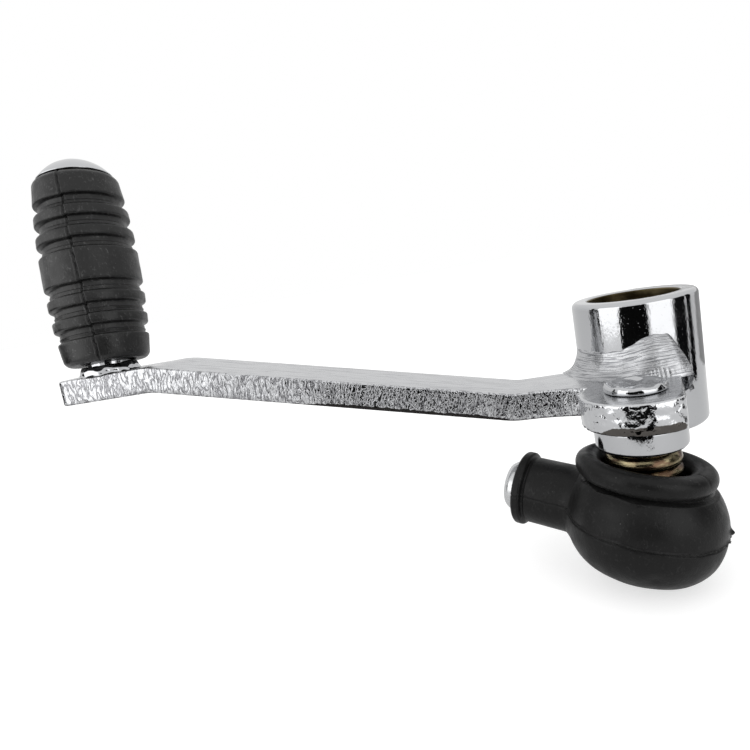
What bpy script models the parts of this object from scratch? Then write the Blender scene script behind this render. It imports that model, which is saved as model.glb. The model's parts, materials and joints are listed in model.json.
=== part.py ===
"""Motorbike gear shift pedal: a bent steel lever with a pivot tube, a toe peg and a ball joint for the link rod.

The origin is the middle of the pivot tube's bore and +Z runs along the bore. The arm reaches along -X to the toe peg,
and the ball joint hangs under the lug on the -Y side. Sizes are in metres.
"""
import math

import bmesh
import bpy
from mathutils import Matrix, Vector

# Clearance between pieces that touch
GAP = 0.0003

# Pivot tube
TUBE_DIAMETER = 0.0260
TUBE_WALL = 0.00345
TUBE_LENGTH = 0.0290
TUBE_CHAMFER = 0.0007

# Arm plate, pressed from flat bar stock
PLATE_THICKNESS = 0.0060
PLATE_TOP = -0.0011
ARM_WIDTH = 0.0140
ARM_TAIL = 0.0106
END_CORNER_RADIUS = 0.0025
FLARE_RADIUS = 0.0306
FLARE_START = -0.0290

# The two bends of the arm, along the flat blank
FIRST_BEND = 0.0270
FIRST_BEND_ANGLE = math.radians(13.4)
FIRST_BEND_SKEW = math.radians(10.0)
SLOPE_LENGTH = 0.0820
SECOND_BEND_ANGLE = math.radians(14.2)
SECOND_BEND_SKEW = math.radians(22.0)
BEND_RADIUS = 0.0160
BEND_STEPS = 4
PEG_FROM_BEND = 0.0174

# The toe peg's lean from square to the arm's end: outward along the arm, and away from the lug side
PEG_LEAN_OUT = math.radians(-1.6)
PEG_LEAN_AWAY = math.radians(6.8)

# Lug with the ball stud, whose place is counted from the tube's near side
STUD_X = -0.0069
STUD_FROM_TUBE = 0.0096
LUG_RADIUS = 0.0106
LUG_SHIFT = 0.0006
LUG_SIDE = 0.00815
LUG_SIDE_LEAN = math.radians(15.6)
LUG_CORNER_RADIUS = 0.0025

# Weld between the tube and the plate
WELD_LEG_OUT = 0.0036
WELD_LEG_UP = 0.0052
WELD_SWELL = 0.0028
WELD_LIP = 0.0004
WELD_START = math.radians(178)
WELD_SWELL_START = math.radians(236)
WELD_SWELL_TOP = math.radians(270)
WELD_FALL_START = math.radians(281)
WELD_TURN_RUN = math.radians(5)
WELD_END = math.radians(302)
WELD_END_DEPTH = 0.0034
WELD_END_LEG = 0.0003
WELD_STEPS = 24
WELD_TURN_STEPS = 8

# Toe peg
PEG_SHANK_DIAMETER = 0.0100
PEG_SPIGOT_DIAMETER = 0.0080
PEG_HEAD_DIAMETER = 0.0176
PEG_HEAD_HEIGHT = 0.0048
PEG_SHOULDER = 0.0009
PEG_WELD_RADIUS = 0.0070
PEG_WELD_HEIGHT = 0.0014
SLEEVE_BOTTOM = 0.0024
SLEEVE_DIAMETER = 0.0226
SLEEVE_BARREL = 0.0015
SLEEVE_END_BAND = 0.0058
SLEEVE_MIDDLE_BAND = 0.0075
SLEEVE_RIB = 0.0022
SLEEVE_GROOVE = 0.0029
SLEEVE_GROOVE_DEPTH = 0.0011
SLEEVE_EDGE = 0.0009

# Ball stud
STUD_SHANK_DIAMETER = 0.0080
STUD_HEAD_DIAMETER = 0.0116
STUD_HEAD_HEIGHT = 0.0013
STUD_DISH = 0.0005
STUD_BEAD_DIAMETER = 0.0142
STUD_UPPER_BEAD = 0.0036
STUD_LOWER_BEAD = 0.0018
STUD_BEAD_GROOVE = 0.0006
STUD_NECK_DIAMETER = 0.0084
COLLAR_DIAMETER = 0.0170
COLLAR_HEIGHT = 0.0048
BALL_DIAMETER = 0.0140
BALL_DROP = 0.0205

# Ball socket, about the ball's centre
SEAT_WALL = 0.0017
SOCKET_WALL = 0.0019
SOCKET_MOUTH_DIAMETER = 0.0136
SOCKET_TOP = 0.0063
SOCKET_SHOULDER_SHARE = 0.93
SOCKET_SHOULDER_HEIGHT = 0.40
SOCKET_SIDE_TOP = 0.20
SOCKET_SIDE_LOW = 0.42
SOCKET_BASE_DIAMETER = 0.0178
SOCKET_BOTTOM = 0.0089
SOCKET_CAP_THICKNESS = 0.0013
SOCKET_NECK_DIAMETER = 0.0108
SOCKET_NECK_REACH = 0.0296
THREAD_DIAMETER = 0.0060
THREAD_DEPTH = 0.0130
UPPER_SEAT_FROM = math.radians(52)
UPPER_SEAT_TO = math.radians(76)
LOWER_SEAT_FROM = math.radians(96)
LOWER_SEAT_TO = math.radians(122)

# Where the socket's neck points in the stored pose
NECK_AZIMUTH = math.radians(153.0)
NECK_RISE = math.radians(10.3)
NECK_ROLL = math.radians(6.4)

# Rubber boot over the socket, slid a little toward the neck so that its lip stays around the stud
BOOT_SHIFT = 0.0010
BOOT_RADIUS = 0.0149
BOOT_DEPTH = 0.0123
BOOT_CORNER = 2.6
BOOT_SHOULDER_HEIGHT = 0.0072
BOOT_SHOULDER_DIAMETER = 0.0246
BOOT_LIP_DIAMETER = 0.0260
BOOT_LIP_BORE = 0.0160
BOOT_LIP_HEIGHT = 0.0102
BOOT_LIP_THICKNESS = 0.0046
BOOT_SLIT_RADIUS = 0.0141
BOOT_SLEEVE_DIAMETER = 0.0143
BOOT_SLEEVE_FLARE = 0.0003
BOOT_SLEEVE_FLARE_LENGTH = 0.0060
BOOT_SLEEVE_ROOT = 0.6
BOOT_FLANGE_DIAMETER = 0.0160
BOOT_FLANGE_WIDTH = 0.0019
BOOT_SLEEVE_REACH = 0.0264

ROUND_STEPS = 48
ARC_STEPS = 10


def clear_scene():
    for obj in list(bpy.data.objects):
        bpy.data.objects.remove(obj, do_unlink=True)


def new_collection(name):
    collection = bpy.data.collections.new(name)
    bpy.context.scene.collection.children.link(collection)
    return collection


def make_material(name, colour, roughness, metallic):
    mat = bpy.data.materials.new(name)
    mat.use_nodes = True
    shader = mat.node_tree.nodes["Principled BSDF"]
    shader.inputs["Base Color"].default_value = (*colour, 1.0)
    shader.inputs["Roughness"].default_value = roughness
    shader.inputs["Metallic"].default_value = metallic
    return mat


def place(name, mesh, collection, mat, matrix=Matrix()):
    obj = bpy.data.objects.new(name, mesh)
    collection.objects.link(obj)
    mesh.materials.append(mat)
    obj.matrix_world = matrix
    return obj


def place_cutter(name, mesh, matrix=Matrix()):
    obj = bpy.data.objects.new(name, mesh)
    bpy.data.collections["cutters"].objects.link(obj)
    obj.hide_render = True
    obj.display_type = "WIRE"
    obj.matrix_world = matrix
    return obj


def arc(centre, radius, start, end, steps=ARC_STEPS):
    """points on a circle, from one angle to another"""
    angles = [start + (end - start) * i / steps for i in range(steps + 1)]
    return [Vector((centre[0] + radius * math.cos(a), centre[1] + radius * math.sin(a))) for a in angles]


def circles_meet(centre, radius, other_centre, other_radius, side):
    """the point where two circles cross, on the chosen side of the line between their centres"""
    apart = Vector(other_centre) - Vector(centre)
    distance = apart.length
    along = (radius**2 - other_radius**2 + distance**2) / (2 * distance)
    across = math.sqrt(radius**2 - along**2)
    unit = apart / distance
    return Vector(centre) + unit * along + Vector((-unit.y, unit.x)) * across * side


def profile_mesh(name, points, closed):
    """a turned piece's profile in the XZ plane: points are (radius, height), down the outer side"""
    mesh = bpy.data.meshes.new(name)
    edges = [(i, i + 1) for i in range(len(points) - 1)]
    if closed:
        edges.append((len(points) - 1, 0))
    mesh.from_pydata([(r, 0.0, z) for r, z in points], edges, [])
    return mesh


def add_screw(obj, steps=ROUND_STEPS):
    screw = obj.modifiers.new("turn", "SCREW")
    screw.steps = steps
    screw.render_steps = steps
    screw.use_merge_vertices = True
    screw.merge_threshold = 0.00001
    screw.use_smooth_shade = True


def turned(name, points, collection, mat, matrix=Matrix(), closed=True, steps=ROUND_STEPS):
    obj = place(name, profile_mesh(name, points, closed), collection, mat, matrix)
    add_screw(obj, steps)
    return obj


def turned_cutter(name, points, matrix=Matrix(), steps=ROUND_STEPS):
    """a solid cutter whose profile starts and ends on the axis"""
    obj = place_cutter(name, profile_mesh(name, points, closed=False), matrix)
    add_screw(obj, steps)
    return obj


def rod_profile(radius, top, bottom):
    return [(0.0, top), (radius, top), (radius, bottom), (0.0, bottom)]


def add_boolean(obj, cutter, operation="DIFFERENCE"):
    boolean = obj.modifiers.new(cutter.name, "BOOLEAN")
    boolean.operation = operation
    boolean.object = cutter


def frozen_mesh(obj, name):
    """the object's evaluated mesh, with its loose caps welded; the object goes"""
    bpy.context.view_layer.update()
    evaluated = obj.evaluated_get(bpy.context.evaluated_depsgraph_get())
    mesh = bpy.data.meshes.new_from_object(evaluated)
    mesh.name = name
    bm = bmesh.new()
    bm.from_mesh(mesh)
    bmesh.ops.remove_doubles(bm, verts=bm.verts, dist=0.000001)
    bm.to_mesh(mesh)
    bm.free()
    bpy.data.objects.remove(obj, do_unlink=True)
    return mesh


def smooth(mesh, angle=math.radians(35)):
    mesh.shade_smooth()
    mesh.set_sharp_from_angle(angle=angle)


# Places that several pieces share
TUBE_RADIUS = TUBE_DIAMETER / 2
TUBE_BORE = TUBE_DIAMETER - 2 * TUBE_WALL
ARM_NEAR_SIDE = -TUBE_RADIUS
STUD_Y = ARM_NEAR_SIDE - STUD_FROM_TUBE
PLATE_UNDERSIDE = PLATE_TOP - PLATE_THICKNESS
PLATE_MIDDLE = PLATE_TOP - PLATE_THICKNESS / 2
ARM_CENTRE_Y = ARM_NEAR_SIDE + ARM_WIDTH / 2
SECOND_BEND = FIRST_BEND + SLOPE_LENGTH
PEG_ON_BLANK = SECOND_BEND + PEG_FROM_BEND
NOTCH_RADIUS = TUBE_RADIUS + GAP
LUG_CENTRE = Vector((STUD_X, STUD_Y - LUG_SHIFT))
LUG_SIDE_NORMAL = Vector((math.cos(LUG_SIDE_LEAN), -math.sin(LUG_SIDE_LEAN)))
LUG_SIDE_ALONG = Vector((-math.sin(LUG_SIDE_LEAN), -math.cos(LUG_SIDE_LEAN)))
LUG_SIDE_FROM_TUBE = LUG_CENTRE.dot(LUG_SIDE_NORMAL) + LUG_SIDE
COLLAR_TOP = PLATE_UNDERSIDE - GAP
COLLAR_BOTTOM = COLLAR_TOP - COLLAR_HEIGHT
BALL_RADIUS = BALL_DIAMETER / 2
BALL_Z = PLATE_UNDERSIDE - BALL_DROP
BALL_CENTRE = Vector((STUD_X, STUD_Y, BALL_Z))
SLEEVE_LENGTH = 2 * SLEEVE_END_BAND + 4 * SLEEVE_RIB + SLEEVE_MIDDLE_BAND + 6 * SLEEVE_GROOVE
SLEEVE_TOP = SLEEVE_BOTTOM + SLEEVE_LENGTH


def hinge_lines():
    """the lines that the blank is folded on, outermost first: a point, the line's direction and its turn"""
    bends = (
        (SECOND_BEND, SECOND_BEND_SKEW, -SECOND_BEND_ANGLE),
        (FIRST_BEND, FIRST_BEND_SKEW, FIRST_BEND_ANGLE),
    )
    lines = []
    for start, skew, angle in bends:
        pitch = BEND_RADIUS * abs(angle) / BEND_STEPS
        for i in reversed(range(BEND_STEPS)):
            point = Vector((-start - i * pitch, ARM_CENTRE_Y, PLATE_MIDDLE))
            direction = Vector((math.sin(skew), math.cos(skew), 0.0))
            lines.append((point, direction, angle / BEND_STEPS))
    return lines


def fold_matrix(point, direction, turn):
    return Matrix.Translation(point) @ Matrix.Rotation(turn, 4, direction) @ Matrix.Translation(-point)


def peg_on_blank():
    """the toe peg's foot on the flat blank's top face"""
    return Matrix.Translation((-PEG_ON_BLANK, ARM_CENTRE_Y, PLATE_TOP))


def peg_lean():
    return Matrix.Rotation(PEG_LEAN_OUT, 4, "Y") @ Matrix.Rotation(-PEG_LEAN_AWAY, 4, "X")


def peg_frame():
    """the place of the toe peg's foot on the bent arm's top face, with +Z square to it"""
    matrix = peg_on_blank()
    for line in hinge_lines():
        matrix = fold_matrix(*line) @ matrix
    return matrix


def blank_outline():
    """the flat blank from above: the arm, the notch around the tube and the lug"""
    far_side = ARM_NEAR_SIDE + ARM_WIDTH
    end_x = -(PEG_ON_BLANK + ARM_TAIL)
    corner = END_CORNER_RADIUS
    outline = arc((end_x + corner, ARM_NEAR_SIDE + corner), corner, 1.5 * math.pi, math.pi, 5)
    outline += arc((end_x + corner, far_side - corner), corner, math.pi, 0.5 * math.pi, 5)
    notch_start = math.pi - math.asin(far_side / NOTCH_RADIUS)
    side_run = math.sqrt(NOTCH_RADIUS**2 - LUG_SIDE_FROM_TUBE**2)
    side_top = LUG_SIDE_NORMAL * LUG_SIDE_FROM_TUBE + LUG_SIDE_ALONG * side_run
    notch_end = math.atan2(side_top.y, side_top.x) + 2 * math.pi
    outline += arc((0.0, 0.0), NOTCH_RADIUS, notch_start, notch_end, 24)
    in_side = LUG_SIDE - LUG_CORNER_RADIUS
    in_run = math.sqrt((LUG_RADIUS - LUG_CORNER_RADIUS) ** 2 - in_side**2)
    lug_corner = LUG_SIDE_NORMAL * in_side + LUG_SIDE_ALONG * in_run
    lug_start = math.atan2(lug_corner.y, lug_corner.x)
    outline += arc(LUG_CENTRE + lug_corner, LUG_CORNER_RADIUS, -LUG_SIDE_LEAN, lug_start, 5)
    flare_centre = (FLARE_START, ARM_NEAR_SIDE - FLARE_RADIUS)
    meet = circles_meet(LUG_CENTRE, LUG_RADIUS, flare_centre, FLARE_RADIUS, -1)
    lug_end = math.atan2(meet.y - LUG_CENTRE.y, meet.x - LUG_CENTRE.x) - 2 * math.pi
    outline += arc(LUG_CENTRE, LUG_RADIUS, lug_start, lug_end, 26)[1:]
    flare_angle = math.atan2(meet.y - flare_centre[1], meet.x - flare_centre[0])
    outline += arc(flare_centre, FLARE_RADIUS, flare_angle, 0.5 * math.pi, 5)[1:]
    return outline


def flat_blank():
    curve = bpy.data.curves.new("blank", "CURVE")
    curve.dimensions = "2D"
    curve.fill_mode = "BOTH"
    curve.extrude = PLATE_THICKNESS / 2
    spline = curve.splines.new("POLY")
    outline = blank_outline()
    spline.points.add(len(outline) - 1)
    for point, place_on in zip(spline.points, outline):
        point.co = (place_on.x, place_on.y, 0.0, 1.0)
    spline.use_cyclic_u = True
    obj = bpy.data.objects.new("blank", curve)
    bpy.data.collections["cutters"].objects.link(obj)
    return frozen_mesh(obj, "blank")


def build_arm_plate(collection, mat):
    """the blank is cut flat, holes and all, and then folded line by line, as the press does it"""
    obj = place("arm_plate", flat_blank(), collection, mat, Matrix.Translation((0.0, 0.0, PLATE_MIDDLE)))
    stud_place = Matrix.Translation((STUD_X, STUD_Y, PLATE_TOP))
    holes = (
        ("stud_hole", stud_place, STUD_SHANK_DIAMETER / 2),
        ("peg_hole", peg_on_blank() @ peg_lean(), PEG_SPIGOT_DIAMETER / 2),
    )
    for name, matrix, radius in holes:
        profile = rod_profile(radius + GAP, PLATE_THICKNESS, -2 * PLATE_THICKNESS)
        add_boolean(obj, turned_cutter(name, profile, matrix, 32))
    mesh = frozen_mesh(obj, "arm_plate")
    mesh.transform(Matrix.Translation((0.0, 0.0, PLATE_MIDDLE)))
    bm = bmesh.new()
    bm.from_mesh(mesh)
    lines = hinge_lines()
    outward = [Vector((-direction.y, direction.x, 0.0)) for _, direction, _ in lines]
    for (point, _, _), normal in zip(lines, outward):
        everything = bm.verts[:] + bm.edges[:] + bm.faces[:]
        bmesh.ops.bisect_plane(bm, geom=everything, dist=0.0000001, plane_co=point, plane_no=normal)
    flat = {vert: vert.co.copy() for vert in bm.verts}
    for line, normal in zip(lines, outward):
        fold = fold_matrix(*line)
        for vert, start in flat.items():
            if (start - line[0]).dot(normal) > 0.000001:
                vert.co = fold @ vert.co
    bm.to_mesh(mesh)
    bm.free()
    smooth(mesh)
    mesh.materials.clear()
    return place("arm_plate", mesh, collection, mat)


def build_pivot_tube(collection, mat):
    half = TUBE_LENGTH / 2
    bore = TUBE_BORE / 2
    chamfer = TUBE_CHAMFER
    profile = [
        (TUBE_RADIUS - chamfer, half),
        (TUBE_RADIUS, half - chamfer),
        (TUBE_RADIUS, -half + chamfer),
        (TUBE_RADIUS - chamfer, -half),
        (bore + chamfer, -half),
        (bore, -half + chamfer),
        (bore, half - chamfer),
        (bore + chamfer, half),
    ]
    return turned("pivot_tube", profile, collection, mat, steps=64)


def ease(value, start, end):
    """0 before start, 1 after end, and smooth between them"""
    share = min(1.0, max(0.0, (value - start) / (end - start)))
    return share * share * (3 - 2 * share)


def weld_turn():
    """the angle about the tube past which a slice of the weld clears the lug's side"""
    clear = (LUG_SIDE_FROM_TUBE + 2 * GAP) / (TUBE_RADIUS + GAP)
    return 2 * math.pi - math.acos(clear) - LUG_SIDE_LEAN


def weld_section(angle):
    """one slice of the weld at an angle about the tube: it swells beside the stud, and past the lug's side it
    runs down the corner between tube and plate"""
    turned_down = ease(angle, weld_turn(), weld_turn() + WELD_TURN_RUN)
    swell = ease(angle, WELD_SWELL_START, WELD_SWELL_TOP)
    inner = TUBE_RADIUS + GAP
    leg = WELD_LEG_OUT + (WELD_END_LEG - WELD_LEG_OUT) * turned_down
    foot = inner + leg
    top = PLATE_TOP + GAP + WELD_LEG_UP + WELD_SWELL * swell
    fall = max(0.0, (angle - WELD_FALL_START) / (WELD_END - WELD_FALL_START))
    high = top + (PLATE_TOP - WELD_END_DEPTH - top) * fall
    low = PLATE_TOP + GAP - (WELD_END_DEPTH + 2 * WELD_LIP) * turned_down
    hollow = 0.34 + 0.24 * swell
    middle = (inner + hollow * leg, low + hollow * (high - low))
    shape = [(inner, high), (inner + WELD_LIP, high), middle, (foot, low + WELD_LIP), (foot, low), (inner, low)]
    return [Vector((r * math.cos(angle), r * math.sin(angle), z)) for r, z in shape]


def weld_angles():
    turn = weld_turn()
    before = [WELD_START + (turn - WELD_START) * i / WELD_STEPS for i in range(WELD_STEPS)]
    return before + [turn + (WELD_END - turn) * i / WELD_TURN_STEPS for i in range(WELD_TURN_STEPS + 1)]


def build_tube_weld(collection, mat):
    """a fillet that runs round the tube over the plate, lofted because its slices swell and shrink"""
    bm = bmesh.new()
    rings = []
    for angle in weld_angles():
        rings.append([bm.verts.new(co) for co in weld_section(angle)])
    for before, after in zip(rings, rings[1:]):
        for j in range(len(before)):
            k = (j + 1) % len(before)
            bm.faces.new((before[j], before[k], after[k], after[j]))
    bm.faces.new(rings[0][::-1])
    bm.faces.new(rings[-1])
    bmesh.ops.recalc_face_normals(bm, faces=bm.faces)
    mesh = bpy.data.meshes.new("tube_weld")
    bm.to_mesh(mesh)
    bm.free()
    smooth(mesh)
    return place("tube_weld", mesh, collection, mat)


def build_toe_peg(collection, steel, matrix):
    """a pin with a spigot through the arm and a domed head over the rubber"""
    shank = PEG_SHANK_DIAMETER / 2
    spigot = PEG_SPIGOT_DIAMETER / 2
    head = PEG_HEAD_DIAMETER / 2
    head_base = SLEEVE_TOP + GAP
    dome_radius = (head**2 + PEG_HEAD_HEIGHT**2) / (2 * PEG_HEAD_HEIGHT)
    centre = head_base + PEG_HEAD_HEIGHT - dome_radius
    steps = 8
    profile = []
    for i in range(steps + 1):
        angle = math.asin(head / dome_radius) * i / steps
        profile.append((dome_radius * math.sin(angle), centre + dome_radius * math.cos(angle)))
    profile += [(shank, head_base), (shank, PEG_SHOULDER), (spigot, PEG_SHOULDER)]
    profile += [(spigot, -PLATE_THICKNESS), (0.0, -PLATE_THICKNESS)]
    return turned("toe_peg", profile, collection, steel, matrix, closed=False)


def build_peg_weld(collection, mat, matrix):
    """a bead around the foot of the pin"""
    inner = PEG_SHANK_DIAMETER / 2 + GAP + PEG_WELD_HEIGHT * math.tan(PEG_LEAN_AWAY)
    outer = PEG_WELD_RADIUS
    top = PEG_WELD_HEIGHT
    profile = [
        (inner, top),
        (inner + 0.35 * (outer - inner), top),
        (inner + 0.8 * (outer - inner), GAP + 0.6 * (top - GAP)),
        (outer, GAP),
        (inner, GAP),
    ]
    return turned("peg_weld", profile, collection, mat, matrix)


def sleeve_profile():
    """the ribbed sleeve's outer side from the top down: end band, two ribs, middle band, two ribs, end band"""
    edge = SLEEVE_EDGE
    depth = SLEEVE_GROOVE_DEPTH
    slope = SLEEVE_GROOVE_DEPTH * 0.5
    half = SLEEVE_LENGTH / 2

    def outer(height):
        return SLEEVE_DIAMETER / 2 - SLEEVE_BARREL * ((height - SLEEVE_BOTTOM - half) / half) ** 2

    bands = [SLEEVE_END_BAND, SLEEVE_RIB, SLEEVE_RIB, SLEEVE_MIDDLE_BAND, SLEEVE_RIB, SLEEVE_RIB, SLEEVE_END_BAND]
    z = SLEEVE_TOP
    points = [(outer(z) - edge, z), (outer(z - edge), z - edge)]
    for i, band in enumerate(bands):
        z -= band
        if i == len(bands) - 1:
            points += [(outer(z + edge), z + edge), (outer(z) - edge, z)]
            break
        low = z - SLEEVE_GROOVE
        points += [(outer(z), z), (outer(z) - depth, z - slope), (outer(low) - depth, low + slope), (outer(low), low)]
        z = low
    return points


def build_toe_sleeve(collection, mat, matrix):
    bore = PEG_SHANK_DIAMETER / 2 + GAP
    profile = sleeve_profile() + [(bore, SLEEVE_BOTTOM), (bore, SLEEVE_TOP)]
    return turned("toe_sleeve", profile, collection, mat, matrix)


def sphere_arc(radius, start, end, steps):
    """(radius, height) points down a sphere, by angle from its top"""
    angles = [start + (end - start) * i / steps for i in range(steps + 1)]
    return [(radius * math.sin(a), radius * math.cos(a)) for a in angles]


def build_ball_stud(collection, mat):
    """riveted over on top of the lug, with two beads, a neck and the ball below the collar"""
    head = STUD_HEAD_DIAMETER / 2
    shank = STUD_SHANK_DIAMETER / 2
    bead = STUD_BEAD_DIAMETER / 2
    groove = STUD_BEAD_GROOVE
    neck = STUD_NECK_DIAMETER / 2
    head_low = PLATE_TOP + GAP - BALL_Z
    head_top = head_low + STUD_HEAD_HEIGHT
    bead_top = COLLAR_BOTTOM - GAP - BALL_Z
    bead_split = bead_top - STUD_UPPER_BEAD
    bead_low = bead_split - STUD_LOWER_BEAD
    neck_exit = math.asin(neck / BALL_RADIUS)
    profile = [
        (0.0, head_top - STUD_DISH),
        (head * 0.45, head_top - STUD_DISH),
        (head * 0.75, head_top),
        (head * 0.92, head_top - 0.15 * STUD_HEAD_HEIGHT),
        (head, head_low + 0.4 * STUD_HEAD_HEIGHT),
        (head, head_low),
        (shank, head_low),
        (shank, bead_top),
        (bead - 3 * groove, bead_top),
        (bead - groove, bead_top - 0.3 * STUD_UPPER_BEAD),
        (bead, bead_top - 0.6 * STUD_UPPER_BEAD),
        (bead - groove, bead_split),
        (bead, bead_split - groove),
        (bead - groove, bead_low),
        (neck, bead_low),
    ]
    profile += sphere_arc(BALL_RADIUS, neck_exit, math.pi, 14)
    profile[-1] = (0.0, -BALL_RADIUS)
    return turned("ball_stud", profile, collection, mat, Matrix.Translation(BALL_CENTRE), closed=False)


def build_stud_collar(collection, mat):
    outer = COLLAR_DIAMETER / 2
    bore = STUD_SHANK_DIAMETER / 2 + GAP
    edge = 0.0005
    profile = [
        (outer - edge, COLLAR_TOP),
        (outer, COLLAR_TOP - edge),
        (outer, COLLAR_BOTTOM + edge),
        (outer - edge, COLLAR_BOTTOM),
        (bore, COLLAR_BOTTOM),
        (bore, COLLAR_TOP),
    ]
    return turned("stud_collar", profile, collection, mat, Matrix.Translation((STUD_X, STUD_Y, 0.0)))


def build_seat(name, start, end, collection, mat, matrix):
    """a ring of the ball's seat: part of a hollow sphere around the ball"""
    inner = BALL_RADIUS + GAP
    outside = sphere_arc(inner + SEAT_WALL, start, end, 6)
    inside = sphere_arc(inner, end, start, 6)
    return turned(name, outside + inside, collection, mat, matrix)


CAVITY_RADIUS = BALL_RADIUS + 2 * GAP + SEAT_WALL
SOCKET_RADIUS = CAVITY_RADIUS + SOCKET_WALL
CAP_HOLE_RADIUS = BALL_RADIUS + 2 * GAP
ALONG_NECK = Matrix.Rotation(math.pi / 2, 4, "Y")
BOOT_CENTRE = Matrix.Translation((BOOT_SHIFT, 0.0, 0.0))


def socket_profile(extra=0.0):
    """the socket body's outer side from its top down to its base, about the ball's centre"""
    mouth_wall = 0.5 * SOCKET_WALL
    top = SOCKET_MOUTH_DIAMETER / 2 + mouth_wall + extra
    base = SOCKET_BASE_DIAMETER / 2 + extra
    side = SOCKET_RADIUS + extra
    points = [(top, SOCKET_TOP + extra), (SOCKET_SHOULDER_SHARE * side, SOCKET_SHOULDER_HEIGHT * side)]
    points += [(side, SOCKET_SIDE_TOP * side), (side, -SOCKET_SIDE_LOW * side)]
    return points + [(base, -SOCKET_BOTTOM - extra)]


def build_ball_socket(collection, mat, matrix):
    """the socket and its neck in one forging, with the seat's cavity, the mouth and the tapped hole for the rod"""
    profile = [(0.0, SOCKET_TOP)] + socket_profile() + [(0.0, -SOCKET_BOTTOM)]
    socket = turned("ball_socket", profile, collection, mat, matrix, closed=False)
    neck = SOCKET_NECK_DIAMETER / 2
    end = SOCKET_NECK_REACH
    neck_profile = [(0.0, end), (neck * 0.74, end), (neck * 0.92, end - 0.0006), (neck, end - 0.0016)]
    neck_profile += [(neck, SOCKET_RADIUS * 0.8), (0.0, SOCKET_RADIUS * 0.8)]
    neck_matrix = matrix @ ALONG_NECK
    add_boolean(socket, turned_cutter("socket_neck", neck_profile, neck_matrix), "UNION")
    mouth = SOCKET_MOUTH_DIAMETER / 2
    mouth_angle = math.asin(mouth / CAVITY_RADIUS)
    hole_angle = math.pi - math.asin(CAP_HOLE_RADIUS / CAVITY_RADIUS)
    beyond = 0.0020
    cavity = [(0.0, SOCKET_TOP + beyond), (mouth, SOCKET_TOP + beyond)]
    cavity += sphere_arc(CAVITY_RADIUS, mouth_angle, hole_angle, 14)
    cavity += [(CAP_HOLE_RADIUS, -SOCKET_BOTTOM - beyond), (0.0, -SOCKET_BOTTOM - beyond)]
    add_boolean(socket, turned_cutter("socket_cavity", cavity, matrix))
    thread = rod_profile(THREAD_DIAMETER / 2, end + beyond, end - THREAD_DEPTH)
    add_boolean(socket, turned_cutter("rod_hole", thread, neck_matrix, 32))
    return socket


def build_socket_cap(collection, mat, matrix):
    """the disc that closes the socket under the ball"""
    profile = rod_profile(CAP_HOLE_RADIUS - GAP, -SOCKET_BOTTOM + SOCKET_CAP_THICKNESS, -SOCKET_BOTTOM)
    return turned("socket_cap", profile, collection, mat, matrix, closed=False)


def build_dust_boot(collection, mat, matrix):
    """the rubber over the socket and its neck, hollow to fit them, with a flange at the end of its sleeve"""
    radius = BOOT_RADIUS
    depth = BOOT_DEPTH
    shoulder = BOOT_SHOULDER_DIAMETER / 2
    height = BOOT_SHOULDER_HEIGHT
    bulge = math.sqrt(1 - (shoulder / radius) ** 2)
    profile = [(0.0, height)]
    for i in range(7):
        share = 1 - i / 6
        profile.append((radius * math.sqrt(1 - (bulge * share) ** 2), height * share))
    for i in range(1, 13):
        angle = 0.5 * math.pi * i / 12
        across = math.cos(angle) ** (2 / BOOT_CORNER) if i < 12 else 0.0
        profile.append((radius * across, -depth * math.sin(angle) ** (2 / BOOT_CORNER)))
    boot = turned("dust_boot", profile, collection, mat, matrix @ BOOT_CENTRE, closed=False)
    sleeve = BOOT_SLEEVE_DIAMETER / 2
    flange = BOOT_FLANGE_DIAMETER / 2
    reach = BOOT_SLEEVE_REACH
    back = reach - BOOT_FLANGE_WIDTH
    start = BOOT_SLEEVE_ROOT * radius
    sleeve_points = [(0.0, reach), (flange - 0.0004, reach), (flange, reach - 0.0004), (flange, back + 0.0003)]
    sleeve_points += [(sleeve, back), (sleeve, start + BOOT_SLEEVE_FLARE_LENGTH)]
    sleeve_points += [(sleeve + BOOT_SLEEVE_FLARE, start), (0.0, start)]
    neck_matrix = matrix @ ALONG_NECK
    add_boolean(boot, turned_cutter("boot_sleeve", sleeve_points, neck_matrix), "UNION")
    beyond = 0.0030
    clear = 1.2 * GAP
    opening = math.sqrt((BOOT_SLIT_RADIUS - GAP) ** 2 - height**2) - SOCKET_WALL
    cavity = [(0.0, height + beyond), (opening, height + beyond), (opening, SOCKET_TOP + clear)]
    cavity += socket_profile(clear) + [(0.0, -SOCKET_BOTTOM - clear)]
    add_boolean(boot, turned_cutter("boot_cavity", cavity, matrix))
    bore = rod_profile(SOCKET_NECK_DIAMETER / 2 + GAP, reach + beyond, 0.5 * SOCKET_RADIUS)
    add_boolean(boot, turned_cutter("boot_bore", bore, neck_matrix))
    return boot


def build_boot_lip(collection, mat, matrix):
    """the fat ring around the boot's mouth and the stud, round below so that the boot can tilt under it"""
    stud_axis = matrix.to_3x3().inverted() @ Vector((0.0, 0.0, 1.0))
    around_stud = Matrix.Translation((*(BOOT_LIP_HEIGHT * stud_axis.xy / stud_axis.z), 0.0))
    outer = BOOT_LIP_DIAMETER / 2
    inner = BOOT_LIP_BORE / 2
    centre = 0.5 * (outer + inner)
    wide = 0.5 * (outer - inner)
    tall = BOOT_LIP_THICKNESS / 2
    profile = []
    for i in range(16):
        angle = 0.5 * math.pi - 2 * math.pi * i / 16
        profile.append((centre + wide * math.cos(angle), BOOT_LIP_HEIGHT + tall * math.sin(angle)))
    lip = turned("boot_lip", profile, collection, mat, matrix @ around_stud)
    ball = sphere_arc(BOOT_SLIT_RADIUS, 0.0, math.pi, 40)
    ball[-1] = (0.0, -BOOT_SLIT_RADIUS)
    add_boolean(lip, turned_cutter("lip_slit", ball, matrix, 64))
    return lip


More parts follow.
